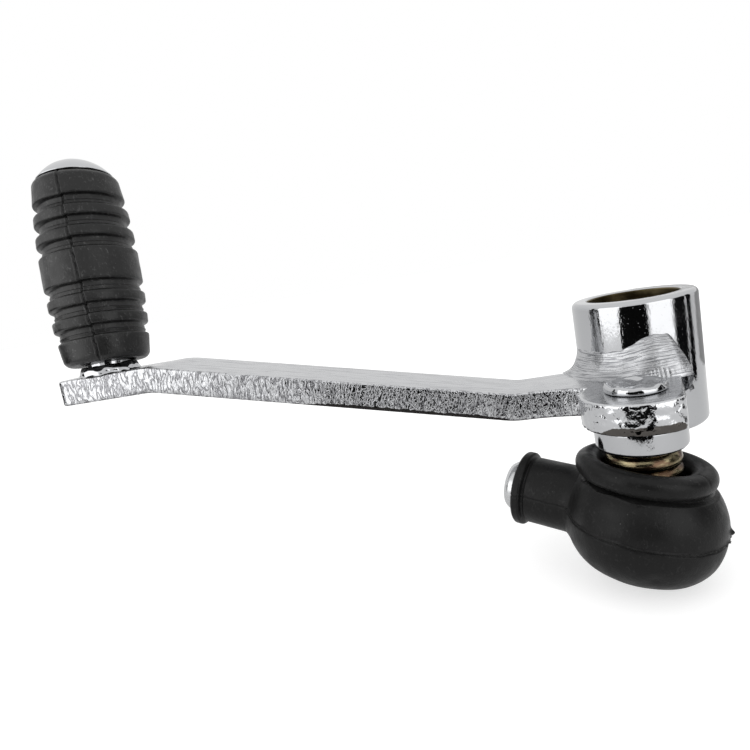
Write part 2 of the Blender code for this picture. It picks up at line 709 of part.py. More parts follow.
def add_empty(name, collection, matrix, parent=None):
    empty = bpy.data.objects.new(name, None)
    empty.empty_display_size = BALL_RADIUS
    collection.objects.link(empty)
    attach(empty, parent, matrix)
    return empty


def attach(obj, parent, matrix=None):
    world = obj.matrix_world.copy() if matrix is None else matrix
    bpy.context.view_layer.update()
    if parent is not None:
        obj.parent = parent
        obj.matrix_parent_inverse = parent.matrix_world.inverted()
    obj.matrix_world = world
    bpy.context.view_layer.update()


def main():
    clear_scene()
    parts = new_collection("gear_shift_pedal")
    new_collection("cutters")
    chrome = make_material("chrome", (0.62, 0.62, 0.63), 0.12, 1.0)
    rough_chrome = make_material("rough_chrome", (0.58, 0.58, 0.59), 0.28, 1.0)
    weld = make_material("weld_chrome", (0.55, 0.55, 0.56), 0.32, 1.0)
    rubber = make_material("rubber", (0.020, 0.020, 0.021), 0.55, 0.0)
    bronzed = make_material("bronzed_steel", (0.28, 0.23, 0.14), 0.30, 1.0)
    forged = make_material("forged_steel", (0.45, 0.45, 0.45), 0.35, 1.0)
    nylon = make_material("nylon", (0.70, 0.69, 0.64), 0.45, 0.0)

    lever = add_empty("lever", parts, Matrix())
    on_arm = peg_frame()
    leaning = on_arm @ peg_lean()
    fixed = [
        build_pivot_tube(parts, chrome),
        build_arm_plate(parts, rough_chrome),
        build_tube_weld(parts, weld),
        build_toe_peg(parts, chrome, leaning),
        build_peg_weld(parts, weld, on_arm),
        build_toe_sleeve(parts, rubber, leaning),
        build_ball_stud(parts, bronzed),
        build_stud_collar(parts, chrome),
    ]
    for obj in fixed:
        attach(obj, lever)

    spun = Matrix.Translation(BALL_CENTRE) @ Matrix.Rotation(NECK_AZIMUTH, 4, "Z")
    tilted = spun @ Matrix.Rotation(-NECK_RISE, 4, "Y")
    rolled = tilted @ Matrix.Rotation(NECK_ROLL, 4, "X")
    spin = add_empty("socket_spin", parts, spun, lever)
    attach(build_seat("seat_upper", UPPER_SEAT_FROM, UPPER_SEAT_TO, parts, nylon, spun), spin)
    roll = add_empty("socket_roll", parts, rolled, spin)
    attach(build_boot_lip(parts, rubber, rolled), roll)
    tilt = add_empty("socket_tilt", parts, rolled, roll)
    attach(build_seat("seat_lower", LOWER_SEAT_FROM, LOWER_SEAT_TO, parts, nylon, rolled), tilt)
    attach(build_ball_socket(parts, forged, rolled), tilt)
    attach(build_socket_cap(parts, forged, rolled), tilt)
    attach(build_dust_boot(parts, rubber, rolled), tilt)


main()
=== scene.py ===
"""Dresses the solids of a motorbike's gear shift pedal: chromed tube and arm, weld, toe rubber and dust boot.

Every piece is built in millimetres in the frame of the solids, and scaled to metres when its mesh is made.
"""
import json
import math

import bmesh
import bpy
import numpy as np
from bpy.props import FloatProperty, FloatVectorProperty, PointerProperty
from mathutils import Matrix, Vector, noise


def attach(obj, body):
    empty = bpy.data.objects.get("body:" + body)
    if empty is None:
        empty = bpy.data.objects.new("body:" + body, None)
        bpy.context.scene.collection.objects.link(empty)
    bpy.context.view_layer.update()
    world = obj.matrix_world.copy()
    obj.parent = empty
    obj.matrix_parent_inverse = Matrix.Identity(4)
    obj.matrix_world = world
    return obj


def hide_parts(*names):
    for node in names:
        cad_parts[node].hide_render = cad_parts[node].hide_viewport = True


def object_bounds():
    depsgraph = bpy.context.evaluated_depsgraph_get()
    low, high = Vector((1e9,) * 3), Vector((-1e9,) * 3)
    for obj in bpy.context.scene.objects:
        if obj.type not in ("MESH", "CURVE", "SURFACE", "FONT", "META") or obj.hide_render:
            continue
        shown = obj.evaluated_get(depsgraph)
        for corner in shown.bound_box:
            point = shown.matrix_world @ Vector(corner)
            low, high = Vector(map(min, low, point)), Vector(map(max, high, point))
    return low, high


bl_info = {
    "name": "Gear Shift Pedal",
    "version": (1, 0, 0),
    "blender": (4, 5, 0),
    "location": "3D View > Sidebar > Gear Pedal",
    "description": "Dresses a motorbike's gear shift pedal with chrome, weld and rubber",
    "category": "Object",
}

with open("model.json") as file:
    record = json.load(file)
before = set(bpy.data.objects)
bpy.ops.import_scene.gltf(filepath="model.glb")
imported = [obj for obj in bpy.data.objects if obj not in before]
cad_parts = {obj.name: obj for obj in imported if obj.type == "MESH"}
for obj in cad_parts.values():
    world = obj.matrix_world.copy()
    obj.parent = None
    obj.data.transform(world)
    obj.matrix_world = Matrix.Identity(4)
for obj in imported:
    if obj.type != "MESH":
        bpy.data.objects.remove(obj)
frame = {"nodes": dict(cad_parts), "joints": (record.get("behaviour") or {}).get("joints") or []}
CAD_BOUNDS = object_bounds()
MM = 0.001
TURN = 2 * math.pi
JOINTS = {joint["name"]: joint for joint in frame["joints"]}
EASED = {"interpolation_type": "SMOOTHSTEP"}
# How far the boot's bulb lies along the neck from the ball, in mm
BULB_FORWARD = 1.0


def linear(code):
    """an opaque colour from its hex code on screen, turned to linear light"""
    parts = [int(code[i : i + 2], 16) / 255 for i in (1, 3, 5)]
    return (*(c / 12.92 if c <= 0.04045 else ((c + 0.055) / 1.055) ** 2.4 for c in parts), 1.0)


def size(label, text, value):
    return FloatProperty(name=label, description=text, default=value * MM, unit="LENGTH", precision=5)


def turn(label, text, degrees):
    return FloatProperty(name=label, description=text, default=math.radians(degrees), subtype="ANGLE")


def colour(label, text, code):
    held = {"size": 4, "subtype": "COLOR", "min": 0, "max": 1}
    return FloatVectorProperty(name=label, description=text, default=linear(code), **held)


def light_level(label, text, value):
    return FloatProperty(name=label, description=text, default=value, min=0)


class PedalSizes(bpy.types.PropertyGroup):
    """Sizes of the lever"""

    tube_diameter: size("Tube diameter", "Outside of the pivot tube", 26.0)
    tube_bore: size("Tube bore", "Hole for the bush of the pivot shaft", 19.1)
    tube_length: size("Tube length", "Height of the pivot tube", 29.0)
    plate: size("Plate", "Thickness of the bar stock", 6.0)
    plate_top: size("Plate top", "Height of the plate's top face at the tube", -1.1)
    arm_width: size("Arm width", "Width of the arm", 14.0)
    first_bend: size("First bend", "From the tube's axis to the first bend", 27.0)
    first_angle: turn("First bend's angle", "The arm's rise after the first bend", 13.4)
    first_skew: turn("First bend's skew", "Turn of the first bend's line", 10.0)
    slope: size("Slope", "Length between the two bends", 82.0)
    second_angle: turn("Second bend's angle", "The arm's fall after the second bend", 14.2)
    second_skew: turn("Second bend's skew", "Turn of the second bend's line", 22.0)
    bend_radius: size("Bend radius", "Radius of both bends at the plate's middle", 16.0)
    peg_from_bend: size("Peg from bend", "From the second bend to the toe peg", 17.4)
    arm_tail: size("Arm tail", "Arm beyond the toe peg", 10.6)
    lug_radius: size("Lug radius", "Round of the lug that carries the ball stud", 10.6)
    weld_height: size("Weld height", "Weld on the tube, above the plate", 5.5)
    weld_swell: size("Weld swell", "Extra height of the weld beside the stud", 2.8)
    weld_reach: size("Weld reach", "Foot of the weld from the tube", 3.7)


class RubberSizes(bpy.types.PropertyGroup):
    """Sizes of the toe rubber and the dust boot"""

    sleeve_diameter: size("Toe rubber", "Toe rubber across its middle", 22.6)
    sleeve_barrel: size("Barrel", "How much thinner the toe rubber's ends are, on the radius", 1.5)
    groove_depth: size("Groove depth", "Depth of the toe rubber's grooves", 1.1)
    mould_shift: size("Mould shift", "Offset of the toe rubber's two mould halves", 0.28)
    boot_radius: size("Boot radius", "Boot at its widest", 14.9)
    boot_depth: size("Boot depth", "Boot below the ball's centre", 12.3)
    boot_fillet: size("Boot fillet", "Blend between the boot's bulb and its sleeve", 1.8)
    flash: size("Flash", "Height of the ragged rubber along the parting line", 0.6)


class PedalColours(bpy.types.PropertyGroup):
    """Colours of the metals and rubbers"""

    chrome: colour("Chrome", "Polished chrome plating", "#BABBBD")
    plate: colour("Plate chrome", "Chrome plating over the brushed plate", "#C3C4C6")
    weld: colour("Weld chrome", "Chrome plating over the weld", "#B9BABC")
    bore: colour("Bore steel", "Bare oiled steel in the bore", "#6A6048")
    passivated: colour("Stud steel", "Yellow-passivated steel of the ball stud", "#8E8468")
    zinc: colour("Zinc", "Bright zinc on the socket", "#C9CACB")
    nylon: colour("Nylon", "Natural nylon of the seats", "#E2DFD4")
    toe_rubber: colour("Toe rubber", "Black rubber of the toe piece", "#0D0D0D")
    boot_rubber: colour("Boot rubber", "Black rubber of the dust boot", "#181818")


class PedalStage(bpy.types.PropertyGroup):
    """Floor, surroundings and light"""

    floor: colour("Floor", "Paper under the pedal", "#C6C6C6")
    surround: light_level("Surround", "Light from all round", 0.88)
    right_box: light_level("Right softbox", "Brightness of the right softbox", 1.15)
    left_box: light_level("Left softbox", "Brightness of the left softbox", 1.2)


def sizes(context):
    """the two size groups as plain millimetres and radians"""
    found = {}
    for group in (context.scene.pedal_sizes, context.scene.rubber_sizes):
        for name in group.bl_rna.properties.keys():
            if name not in ("rna_type", "name"):
                found[name] = getattr(group, name) / (1 if name.endswith(("angle", "skew")) else MM)
    return found


# Shapes


def ease(value, start, end):
    share = np.clip((np.asarray(value, float) - start) / (end - start), 0, 1)
    return share * share * (3 - 2 * share)


def bell(value, centre, width):
    return np.exp(-(((np.asarray(value, float) - centre) / width) ** 2))


def clouds(points, grain, seed=0.0, octaves=1):
    """smooth noise from -1 to 1 at points in mm, whose lumps are about one grain wide"""
    flat = np.asarray(points, float).reshape(-1, 3) / grain + seed
    total = np.zeros(len(flat))
    for octave in range(octaves):
        step = 2.0**octave
        total += np.array([noise.noise(Vector(p)) for p in flat * step]) / step
    return total.reshape(np.shape(points)[:-1])


def rounded(points, radius, steps=5, closed=False):
    """a polyline whose corners are cut back by radius, or by one radius for each point, and rounded"""
    points = [np.array(p, float) for p in points]
    radii = radius if isinstance(radius, (list, tuple)) else [radius] * len(points)
    out = []
    for i, (point, cut) in enumerate(zip(points, radii)):
        if cut == 0 or (not closed and i in (0, len(points) - 1)):
            out.append(point)
            continue
        before, after = points[i - 1] - point, points[(i + 1) % len(points)] - point
        cut = min(cut, 0.48 * np.hypot(*before), 0.48 * np.hypot(*after))
        start = point + before / np.hypot(*before) * cut
        end = point + after / np.hypot(*after) * cut
        for t in np.linspace(0, 1, steps + 1):
            out.append((1 - t) ** 2 * start + 2 * t * (1 - t) * point + t * t * end)
    return out


def spaced(points, step, fine=(), fine_step=0.12):
    """a polyline with no stretch longer than step, or than fine_step within the fine bands of height"""
    out = [np.array(points[0], float)]
    for point in points[1:]:
        gap = np.array(point, float) - out[-1]
        height = out[-1][1] + gap[1] / 2
        longest = fine_step if any(low < height < high for low, high in fine) else step
        count = max(1, math.ceil(np.hypot(*gap) / longest))
        start = out[-1]
        out += [start + gap * i / count for i in range(1, count + 1)]
    return np.array(out)


def lathe(profile, steps=128):
    """the grid of a turned piece about Z: one row for each (radius, height), down the outer side"""
    profile = np.asarray(profile, float)
    angles = np.arange(steps) * TURN / steps
    grid = np.empty((len(profile), steps, 3))
    grid[..., 0] = profile[:, :1] * np.cos(angles)
    grid[..., 1] = profile[:, :1] * np.sin(angles)
    grid[..., 2] = profile[:, 1:]
    return grid


def on_x(grid):
    """a turned grid laid along X: its heights become distances along X"""
    return np.stack([grid[..., 2], -grid[..., 1], grid[..., 0]], axis=-1)


def skin(name, grid, place=Matrix(), ring=True, loop=False):
    """a mesh over a grid of points in mm; ring joins its last column to the first, loop its last row"""
    rows, columns = grid.shape[:2]
    index = np.arange(rows * columns).reshape(rows, columns)
    if ring:
        index = np.concatenate([index, index[:, :1]], axis=1)
    if loop:
        index = np.concatenate([index, index[:1]], axis=0)
    corners = (index[:-1, :-1], index[1:, :-1], index[1:, 1:], index[:-1, 1:])
    faces = np.stack(corners, axis=-1).reshape(-1, 4)
    mesh = bpy.data.meshes.new(name)
    mesh.from_pydata((grid.reshape(-1, 3) * MM).tolist(), [], faces.tolist())
    mesh.transform(place)
    bm = bmesh.new()
    bm.from_mesh(mesh)
    bmesh.ops.remove_doubles(bm, verts=bm.verts, dist=0.0000005)
    bmesh.ops.dissolve_degenerate(bm, edges=bm.edges, dist=0.0000005)
    bm.to_mesh(mesh)
    bm.free()
    mesh.shade_smooth()
    obj = bpy.data.objects.new(name, mesh)
    bpy.context.scene.collection.objects.link(obj)
    return obj


def join(name, *objs):
    """one object from several that touch or run into each other"""
    bm = bmesh.new()
    for obj in objs:
        bm.from_mesh(obj.data)
        old = obj.data
        bpy.data.objects.remove(obj)
        bpy.data.meshes.remove(old)
    mesh = bpy.data.meshes.new(name)
    bm.to_mesh(mesh)
    bm.free()
    mesh.shade_smooth()
    obj = bpy.data.objects.new(name, mesh)
    bpy.context.scene.collection.objects.link(obj)
    return obj


def paint(obj, *names, choose=None):
    """gives the object its finishes; choose takes a face's centre in mm and returns its finish's number"""
    for name in names:
        obj.data.materials.append(finish(name))
    if choose is not None:
        for face in obj.data.polygons:
            face.material_index = choose(face.center / MM)


def dress(obj, body, slot, *nodes):
    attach(obj, body)
    if nodes:
        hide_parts(*nodes)


def ball_frame():
    """the ball joint's place: X along the socket's neck, Y its tilt axis"""
    along = Vector(JOINTS["socket_roll"]["axis"]).normalized()
    across = Vector(JOINTS["socket_tilt"]["axis"]).normalized()
    matrix = Matrix((along, across, along.cross(across))).transposed().to_4x4()
    matrix.translation = Vector(JOINTS["socket_tilt"]["pos_m"])
    return matrix


def arm_middle(s):
    """where the arm's middle line lies across the flat blank"""
    return -s["tube_diameter"] / 2 + s["arm_width"] / 2


def bends(s):
    """for each bend, its distance from the tube's axis on the flat blank, its skew and its rise"""
    return (
        (s["first_bend"], s["first_skew"], s["first_angle"]),
        (s["first_bend"] + s["slope"], s["second_skew"], -s["second_angle"]),
    )


def bent(points, flat, s):
    """folds points in mm with the arm's two bends; flat holds where each point lies on the flat blank"""
    middle = s["plate_top"] - s["plate"] / 2
    out = np.array(points, float)
    # The outer bend is folded first, while the rest still lies flat
    for start, skew, angle in reversed(bends(s)):
        run = s["bend_radius"] * abs(angle) * math.cos(skew)
        radius = run / abs(angle)
        sign = math.copysign(1, angle)
        outward = np.array((-math.cos(skew), math.sin(skew), 0.0))
        origin = np.array((-start, arm_middle(s), middle)) - outward * run / 8
        beyond = (flat - origin) @ outward
        moved = beyond > 0
        here = out[moved] - origin
        along = here @ outward
        rise = here[:, 2]
        side = here - np.outer(along, outward) - np.outer(rise, (0, 0, 1))
        turned = np.minimum(beyond[moved] / run, 1) * abs(angle)
        rest = np.where(beyond[moved] > run, along - run, 0.0)
        level = radius - rise * sign
        forward = level * np.sin(turned) + rest * np.cos(turned)
        height = sign * (radius - level * np.cos(turned) + rest * np.sin(turned))
        out[moved] = origin + side + np.outer(forward, outward) + np.outer(height, (0, 0, 1))
    return out


def peg_frames(s):
    """the toe peg's foot on the bent arm: square to the arm, and with the peg's lean"""
    foot = np.array((-(s["first_bend"] + s["slope"] + s["peg_from_bend"]), arm_middle(s), s["plate_top"]))
    tips = foot + np.vstack([np.zeros(3), np.eye(3)])
    ends = bent(tips, np.array([foot] * 4), s)
    axes = [Vector(end - ends[0]).normalized() for end in ends[1:]]
    square = Matrix(axes).transposed().to_4x4()
    square.translation = Vector(ends[0]) * MM
    lean = Matrix.Rotation(math.radians(-1.6), 4, "Y") @ Matrix.Rotation(math.radians(-6.8), 4, "X")
    return square, square @ lean


# Finishes


def feed(tree, node, sockets):
    """sets a node's sockets to values, or links them to other nodes' sockets or first outputs"""
    for name, value in sockets.items():
        if isinstance(value, bpy.types.Node):
            value = value.outputs[0]
        if isinstance(value, bpy.types.NodeSocket):
            tree.links.new(value, node.inputs[name])
        else:
            node.inputs[name].default_value = value


def add(tree, kind, sockets=None, **settings):
    """one shader node with its settings, its sockets fed as in feed"""
    node = tree.nodes.new("ShaderNode" + kind)
    for name, value in settings.items():
        setattr(node, name, value)
    feed(tree, node, sockets or {})
    return node


def new_finish(name, tint, roughness, metallic=1.0):
    """a new material whose shader has one tint and one roughness all over"""
    material = bpy.data.materials.new(name)
    material.use_nodes = True
    tree = material.node_tree
    shader = tree.nodes["Principled BSDF"]
    feed(tree, shader, {"Base Color": tint, "Roughness": roughness, "Metallic": metallic})
    return material, tree, shader


def grains(tree, *widths, on_blank=False):
    """coordinates counted in grains, whose widths in mm are given for each axis, on the object or the blank"""
    if on_blank:
        where, unit = add(tree, "Attribute", attribute_name="blank").outputs["Vector"], 1.0
    else:
        where, unit = add(tree, "TexCoord").outputs["Object"], MM
    factors = [1 / (width * unit) for width in widths]
    return add(tree, "VectorMath", {0: where, 1: factors}, operation="MULTIPLY")


def span(value, low, high, to_low=0.0, to_high=1.0):
    """the sockets of a node that carries the range from low to high onto another"""
    return {"Value": value, "From Min": low, "From Max": high, "To Min": to_low, "To Max": to_high}


def bumps(tree, shader, *layers):
    """heights stacked into the shader's normal, each with its real depth in mm"""
    below = {}
    for height, depth in layers:
        layer = add(tree, "Bump", {"Height": height, "Distance": depth * MM, "Strength": 1.0, **below})
        below = {"Normal": layer}
    feed(tree, shader, below)


def polished_chrome(colours):
    """decorative chrome over buffed steel: a dark-edged mirror with faint buffing waves and pinholes"""
    material, tree, shader = new_finish("polished_chrome_plate", colours.chrome, 0.06)
    wave = add(tree, "TexNoise", {"Vector": grains(tree, 3.6, 3.6, 10.0), "Scale": 1.0, "Detail": 3.0})
    grit = add(tree, "TexNoise", {"Vector": grains(tree, 0.385, 0.385, 1.0), "Scale": 1.0, "Detail": 2.0})
    haze = add(tree, "TexNoise", {"Vector": grains(tree, 5.0, 5.0, 5.0), "Scale": 1.0, "Detail": 3.0})
    cells = add(tree, "TexVoronoi", {"Vector": grains(tree, 0.667, 0.667, 0.667), "Scale": 1.0})
    pinholes = add(tree, "MapRange", span(cells, 0.04, 0.1), **EASED)
    feed(tree, shader, {"Roughness": add(tree, "MapRange", span(haze, 0.4, 0.75, 0.045, 0.13), **EASED)})
    bumps(tree, shader, (wave, 0.06), (grit, 0.016), (pinholes, 0.014))
    return material


def plated_face(colours):
    """chrome over a linished plate face: satin grey with fine marks along the arm and a few nicks"""
    material, tree, shader = new_finish("linished_chrome_plate", colours.plate, 0.2)
    along = grains(tree, 8.3, 0.3125, 0.3125, on_blank=True)
    marks = add(tree, "TexNoise", {"Vector": along, "Scale": 1.0, "Detail": 4.0})
    broad = grains(tree, 3.33, 2.0, 2.0, on_blank=True)
    sweep = add(tree, "TexNoise", {"Vector": broad, "Scale": 1.0, "Detail": 3.0})
    cells = add(tree, "TexVoronoi", {"Vector": grains(tree, 4.5, 2.2, 2.2, on_blank=True), "Scale": 1.0})
    nicks = add(tree, "MapRange", span(cells, 0.03, 0.08), **EASED)
    in_mark = add(tree, "MapRange", span(marks, 0.5, 0.66), **EASED)
    streaks = {"Fac": in_mark, "Color1": colours.plate, "Color2": linear("#9FA0A3")}
    gloss = add(tree, "MapRange", span(sweep, 0.35, 0.7, 0.12, 0.3), **EASED)
    feed(tree, shader, {"Base Color": add(tree, "MixRGB", streaks), "Roughness": gloss})
    bumps(tree, shader, (sweep, 0.06), (marks, 0.02), (nicks, 0.02))
    return material


def grooves(tree, where, width, distortion):
    """thin winding grooves where a noise crosses its middle value: 0 in a groove, and 1 away from it"""
    sockets = {"Vector": where, "Scale": 1.0, "Detail": 1.5, "Distortion": distortion}
    middle = add(tree, "Math", {0: add(tree, "TexNoise", sockets), 1: 0.5}, operation="SUBTRACT")
    away = add(tree, "Math", {0: middle}, operation="ABSOLUTE")
    return add(tree, "MapRange", span(away, 0.0, width), **EASED)


def painted_underside_shade(tree, shader, unshaded, dark, low, high, raggedness, centre, reach):
    """paints shade along the blank's underside, darkening it: its ragged top is high at the centre and low
    beyond reach, all in mm
    """
    blank = add(tree, "Attribute", attribute_name="blank").outputs["Vector"]
    where = add(tree, "SeparateXYZ", {"Vector": blank})
    ragged = grains(tree, 0.83, 0.83, 1.25, on_blank=True)
    wave = add(tree, "TexNoise", {"Vector": ragged, "Scale": 1.0, "Detail": 3.0})
    lift = add(tree, "Math", {0: wave, 1: 0.5}, operation="SUBTRACT")
    lifted = add(tree, "Math", {0: lift, 1: raggedness}, operation="MULTIPLY")
    along = add(tree, "Math", {0: where.outputs["X"], 1: centre}, operation="SUBTRACT")
    away = add(tree, "Math", {0: along}, operation="ABSOLUTE")
    top = add(tree, "MapRange", span(away, 0.6 * reach, reach, high, low), **EASED)
    edge = add(tree, "Math", {0: top, 1: lifted}, operation="ADD")
    above = add(tree, "Math", {0: where.outputs["Z"], 1: edge}, operation="SUBTRACT")
    shade_mask = add(tree, "MapRange", span(above, -0.06, 0.06, 1.0, 0.0), **EASED)
    # Painted shade: below the ragged top the colour goes to the dark shade tint
    feed(tree, shader, {"Base Color": add(tree, "MixRGB", {"Fac": shade_mask, "Color1": unshaded, "Color2": dark})})


def plated_edge(colours):
    """chrome over a blanked edge: the shear's tears stay as winding grooves up the side, about 1 mm apart,
    with painted shade in the grooves and along the underside
    """
    material, tree, shader = new_finish("blanked_edge_chrome", colours.plate, 0.1)
    tears = grooves(tree, grains(tree, 1.0, 1.0, 2.9, on_blank=True), 0.09, 0.6)
    short = grooves(tree, grains(tree, 0.77, 0.77, 1.25, on_blank=True), 0.08, 1.0)
    uneven = grains(tree, 1.11, 1.11, 2.9, on_blank=True)
    lumps = add(tree, "TexNoise", {"Vector": uneven, "Scale": 1.0, "Detail": 2.0})
    rough = grains(tree, 0.385, 0.385, 0.625, on_blank=True)
    fine = add(tree, "TexNoise", {"Vector": rough, "Scale": 1.0, "Detail": 3.0})
    # Painted shade: the tears' grooves are coloured a darker grey
    wear_and_groove_shade = add(tree, "MixRGB", {"Fac": tears, "Color1": linear("#848487"), "Color2": colours.plate})
    # Painted shade: a dark ragged band along the edge's underside
    painted_underside_shade(tree, shader, wear_and_groove_shade, linear("#2C2B2A"), -6.95, -6.2, 0.9, -52.0, 26.0)
    bumps(tree, shader, (lumps, 0.035), (tears, 0.045), (short, 0.024), (fine, 0.003))
    return material


def hammered_edge(colours):
    """chrome over the lug's torn rim: thick plating rounds the tears into hammered lumps under 1 mm wide"""
    material, tree, shader = new_finish("hammered_lug_chrome", colours.plate, 0.09)
    where = grains(tree, 0.83, 0.83, 0.95, on_blank=True)
    lumps = add(tree, "TexNoise", {"Vector": where, "Scale": 1.0, "Detail": 2.5, "Distortion": 0.5})
    rough = grains(tree, 0.385, 0.385, 0.385, on_blank=True)
    fine = add(tree, "TexNoise", {"Vector": rough, "Scale": 1.0, "Detail": 2.0})
    # Painted shade: a darker band along the lower part of the rim round the lug
    painted_underside_shade(tree, shader, colours.plate, linear("#55524F"), -7.0, -5.4, 0.7, -8.0, 8.5)
    bumps(tree, shader, (lumps, 0.11), (fine, 0.004))
    return material


def welded_chrome(colours):
    """chrome over a dressed weld: file strokes run round the tube, with small pits between them"""
    material, tree, shader = new_finish("dressed_weld_chrome", colours.weld, 0.2)
    stroke = (1 / (4.55 * MM), 1 / (0.3125 * MM), 1.0)
    laid = add(tree, "VectorMath", {0: add(tree, "UVMap", uv_map="bead"), 1: stroke}, operation="MULTIPLY")
    marks = add(tree, "TexNoise", {"Vector": laid, "Scale": 1.0, "Detail": 4.0, "Distortion": 0.4})
    lumps = add(tree, "TexNoise", {"Vector": grains(tree, 1.8, 1.8, 1.4), "Scale": 1.0, "Detail": 2.0})
    cells = add(tree, "TexVoronoi", {"Vector": grains(tree, 1.25, 1.25, 1.25), "Scale": 1.0})
    pits = add(tree, "MapRange", span(cells, 0.06, 0.16), **EASED)
    in_mark = add(tree, "MapRange", span(marks, 0.46, 0.62), **EASED)
    strokes = {"Fac": in_mark, "Color1": colours.weld, "Color2": linear("#828386")}
    gloss = add(tree, "MapRange", span(lumps, 0.35, 0.7, 0.2, 0.36), **EASED)
    feed(tree, shader, {"Base Color": add(tree, "MixRGB", strokes), "Roughness": gloss})
    bumps(tree, shader, (lumps, 0.1), (marks, 0.12), (pits, 0.03))
    return material


def bore_steel(colours):
    """bare steel left in the reamed bore, browned by oil: dull, with rings from the reamer"""
    material, tree, shader = new_finish("reamed_bore_steel", colours.bore, 0.38)
    rings = add(tree, "TexNoise", {"Vector": grains(tree, 20.0, 20.0, 0.4), "Scale": 1.0, "Detail": 3.0})
    stain = add(tree, "TexNoise", {"Vector": grains(tree, 5.0, 5.0, 3.33), "Scale": 1.0, "Detail": 4.0})
    oily = add(tree, "MapRange", span(stain, 0.35, 0.65), **EASED)
    stained = {"Fac": oily, "Color1": colours.bore, "Color2": linear("#3A3222")}
    feed(tree, shader, {"Base Color": add(tree, "MixRGB", stained)})
    bumps(tree, shader, (rings, 0.02))
    return material


def stud_steel(colours):
    """turned steel with a yellow passivation wearing thin: brownish gold, scored round by the lathe and the
    boot
    """
    material, tree, shader = new_finish("passivated_stud_steel", colours.passivated, 0.2)
    rings = add(tree, "TexNoise", {"Vector": grains(tree, 4.0, 4.0, 0.222), "Scale": 1.0, "Detail": 4.0})
    stain = add(tree, "TexNoise", {"Vector": grains(tree, 2.86, 2.86, 1.11), "Scale": 1.0, "Detail": 4.0})
    brown = add(tree, "MapRange", span(stain, 0.42, 0.62), **EASED)
    stained = {"Fac": brown, "Color1": colours.passivated, "Color2": linear("#5D4A3B")}
    gloss = add(tree, "MapRange", span(rings, 0.35, 0.7, 0.14, 0.34), **EASED)
    feed(tree, shader, {"Base Color": add(tree, "MixRGB", stained), "Roughness": gloss})
    bumps(tree, shader, (stain, 0.1), (rings, 0.035))
    return material


def zinc_steel(colours):
    """zinc-plated forging: bright silver with a soft, slightly grainy shine"""
    material, tree, shader = new_finish("zinc_plated_forging", colours.zinc, 0.26)
    grain = add(tree, "TexNoise", {"Vector": grains(tree, 0.667, 0.667, 0.667), "Scale": 1.0, "Detail": 3.0})
    feed(tree, shader, {"Roughness": add(tree, "MapRange", span(grain, 0.3, 0.7, 0.2, 0.34), **EASED)})
    bumps(tree, shader, (grain, 0.012))
    return material


def natural_nylon(colours):
    """moulded natural nylon: milky, with a waxy sheen"""
    material, tree, shader = new_finish("moulded_nylon", colours.nylon, 0.42, 0.0)
    grain = add(tree, "TexNoise", {"Vector": grains(tree, 0.5, 0.5, 0.5), "Scale": 1.0, "Detail": 2.0})
    bumps(tree, shader, (grain, 0.01))
    return material


def black_rubber(name, tint, scuffed, roughness, scuffing, specular, relief):
    """moulded black rubber: a fine skin off the mould, pale dust specks, and rubbed patches that shine"""
    material, tree, shader = new_finish(name, tint, roughness, 0.0)
    skin_grain = grains(tree, 0.3125, 0.3125, 0.3125)
    fine = add(tree, "TexNoise", {"Vector": skin_grain, "Scale": 1.0, "Detail": 3.0})
    flow = add(tree, "TexNoise", {"Vector": grains(tree, 3.33, 3.33, 3.33), "Scale": 1.0, "Detail": 4.0})
    patch = grains(tree, 0.625, 0.625, 1.11)
    rub = add(tree, "TexNoise", {"Vector": patch, "Scale": 1.0, "Detail": 5.0, "Distortion": 1.5})
    cells = add(tree, "TexVoronoi", {"Vector": grains(tree, 2.38, 2.38, 2.38), "Scale": 1.0})
    speck = add(tree, "MapRange", span(cells, 0.02, 0.06, 0.8, 0.0), **EASED)
    wear_and_groove_shade = add(tree, "MapRange", span(rub, 0.56, 0.74, 0.0, scuffing), **EASED)
    rubbed = add(tree, "MixRGB", {"Fac": wear_and_groove_shade, "Color1": tint, "Color2": scuffed})
    dusty = add(tree, "MixRGB", {"Fac": speck, "Color1": rubbed, "Color2": linear("#4C4C4B")})
    dull = add(tree, "MapRange", span(flow, 0.35, 0.7, roughness - 0.06, roughness + 0.08), **EASED)
    feed(tree, shader, {"Base Color": dusty, "Roughness": dull, "Specular IOR Level": specular})
    bumps(tree, shader, (flow, 0.1), (rub, relief), (fine, 0.5 * relief))
    return material


def toe_rubber(colours):
    return black_rubber("ribbed_toe_rubber", colours.toe_rubber, linear("#464646"), 0.38, 0.8, 0.4, 0.05)


def boot_rubber(colours):
    return black_rubber("moulded_boot_rubber", colours.boot_rubber, linear("#343434"), 0.36, 0.5, 0.14, 0.04)


FINISHES = {
    "polished_chrome_plate": polished_chrome,
    "linished_chrome_plate": plated_face,
    "blanked_edge_chrome": plated_edge,
    "hammered_lug_chrome": hammered_edge,
    "dressed_weld_chrome": welded_chrome,
    "reamed_bore_steel": bore_steel,
    "passivated_stud_steel": stud_steel,
    "zinc_plated_forging": zinc_steel,
    "moulded_nylon": natural_nylon,
    "ribbed_toe_rubber": toe_rubber,
    "moulded_boot_rubber": boot_rubber,
}


def finish(name):
    """the finish of that name, made once"""
    return bpy.data.materials.get(name) or FINISHES[name](bpy.context.scene.pedal_colours)


# Pieces


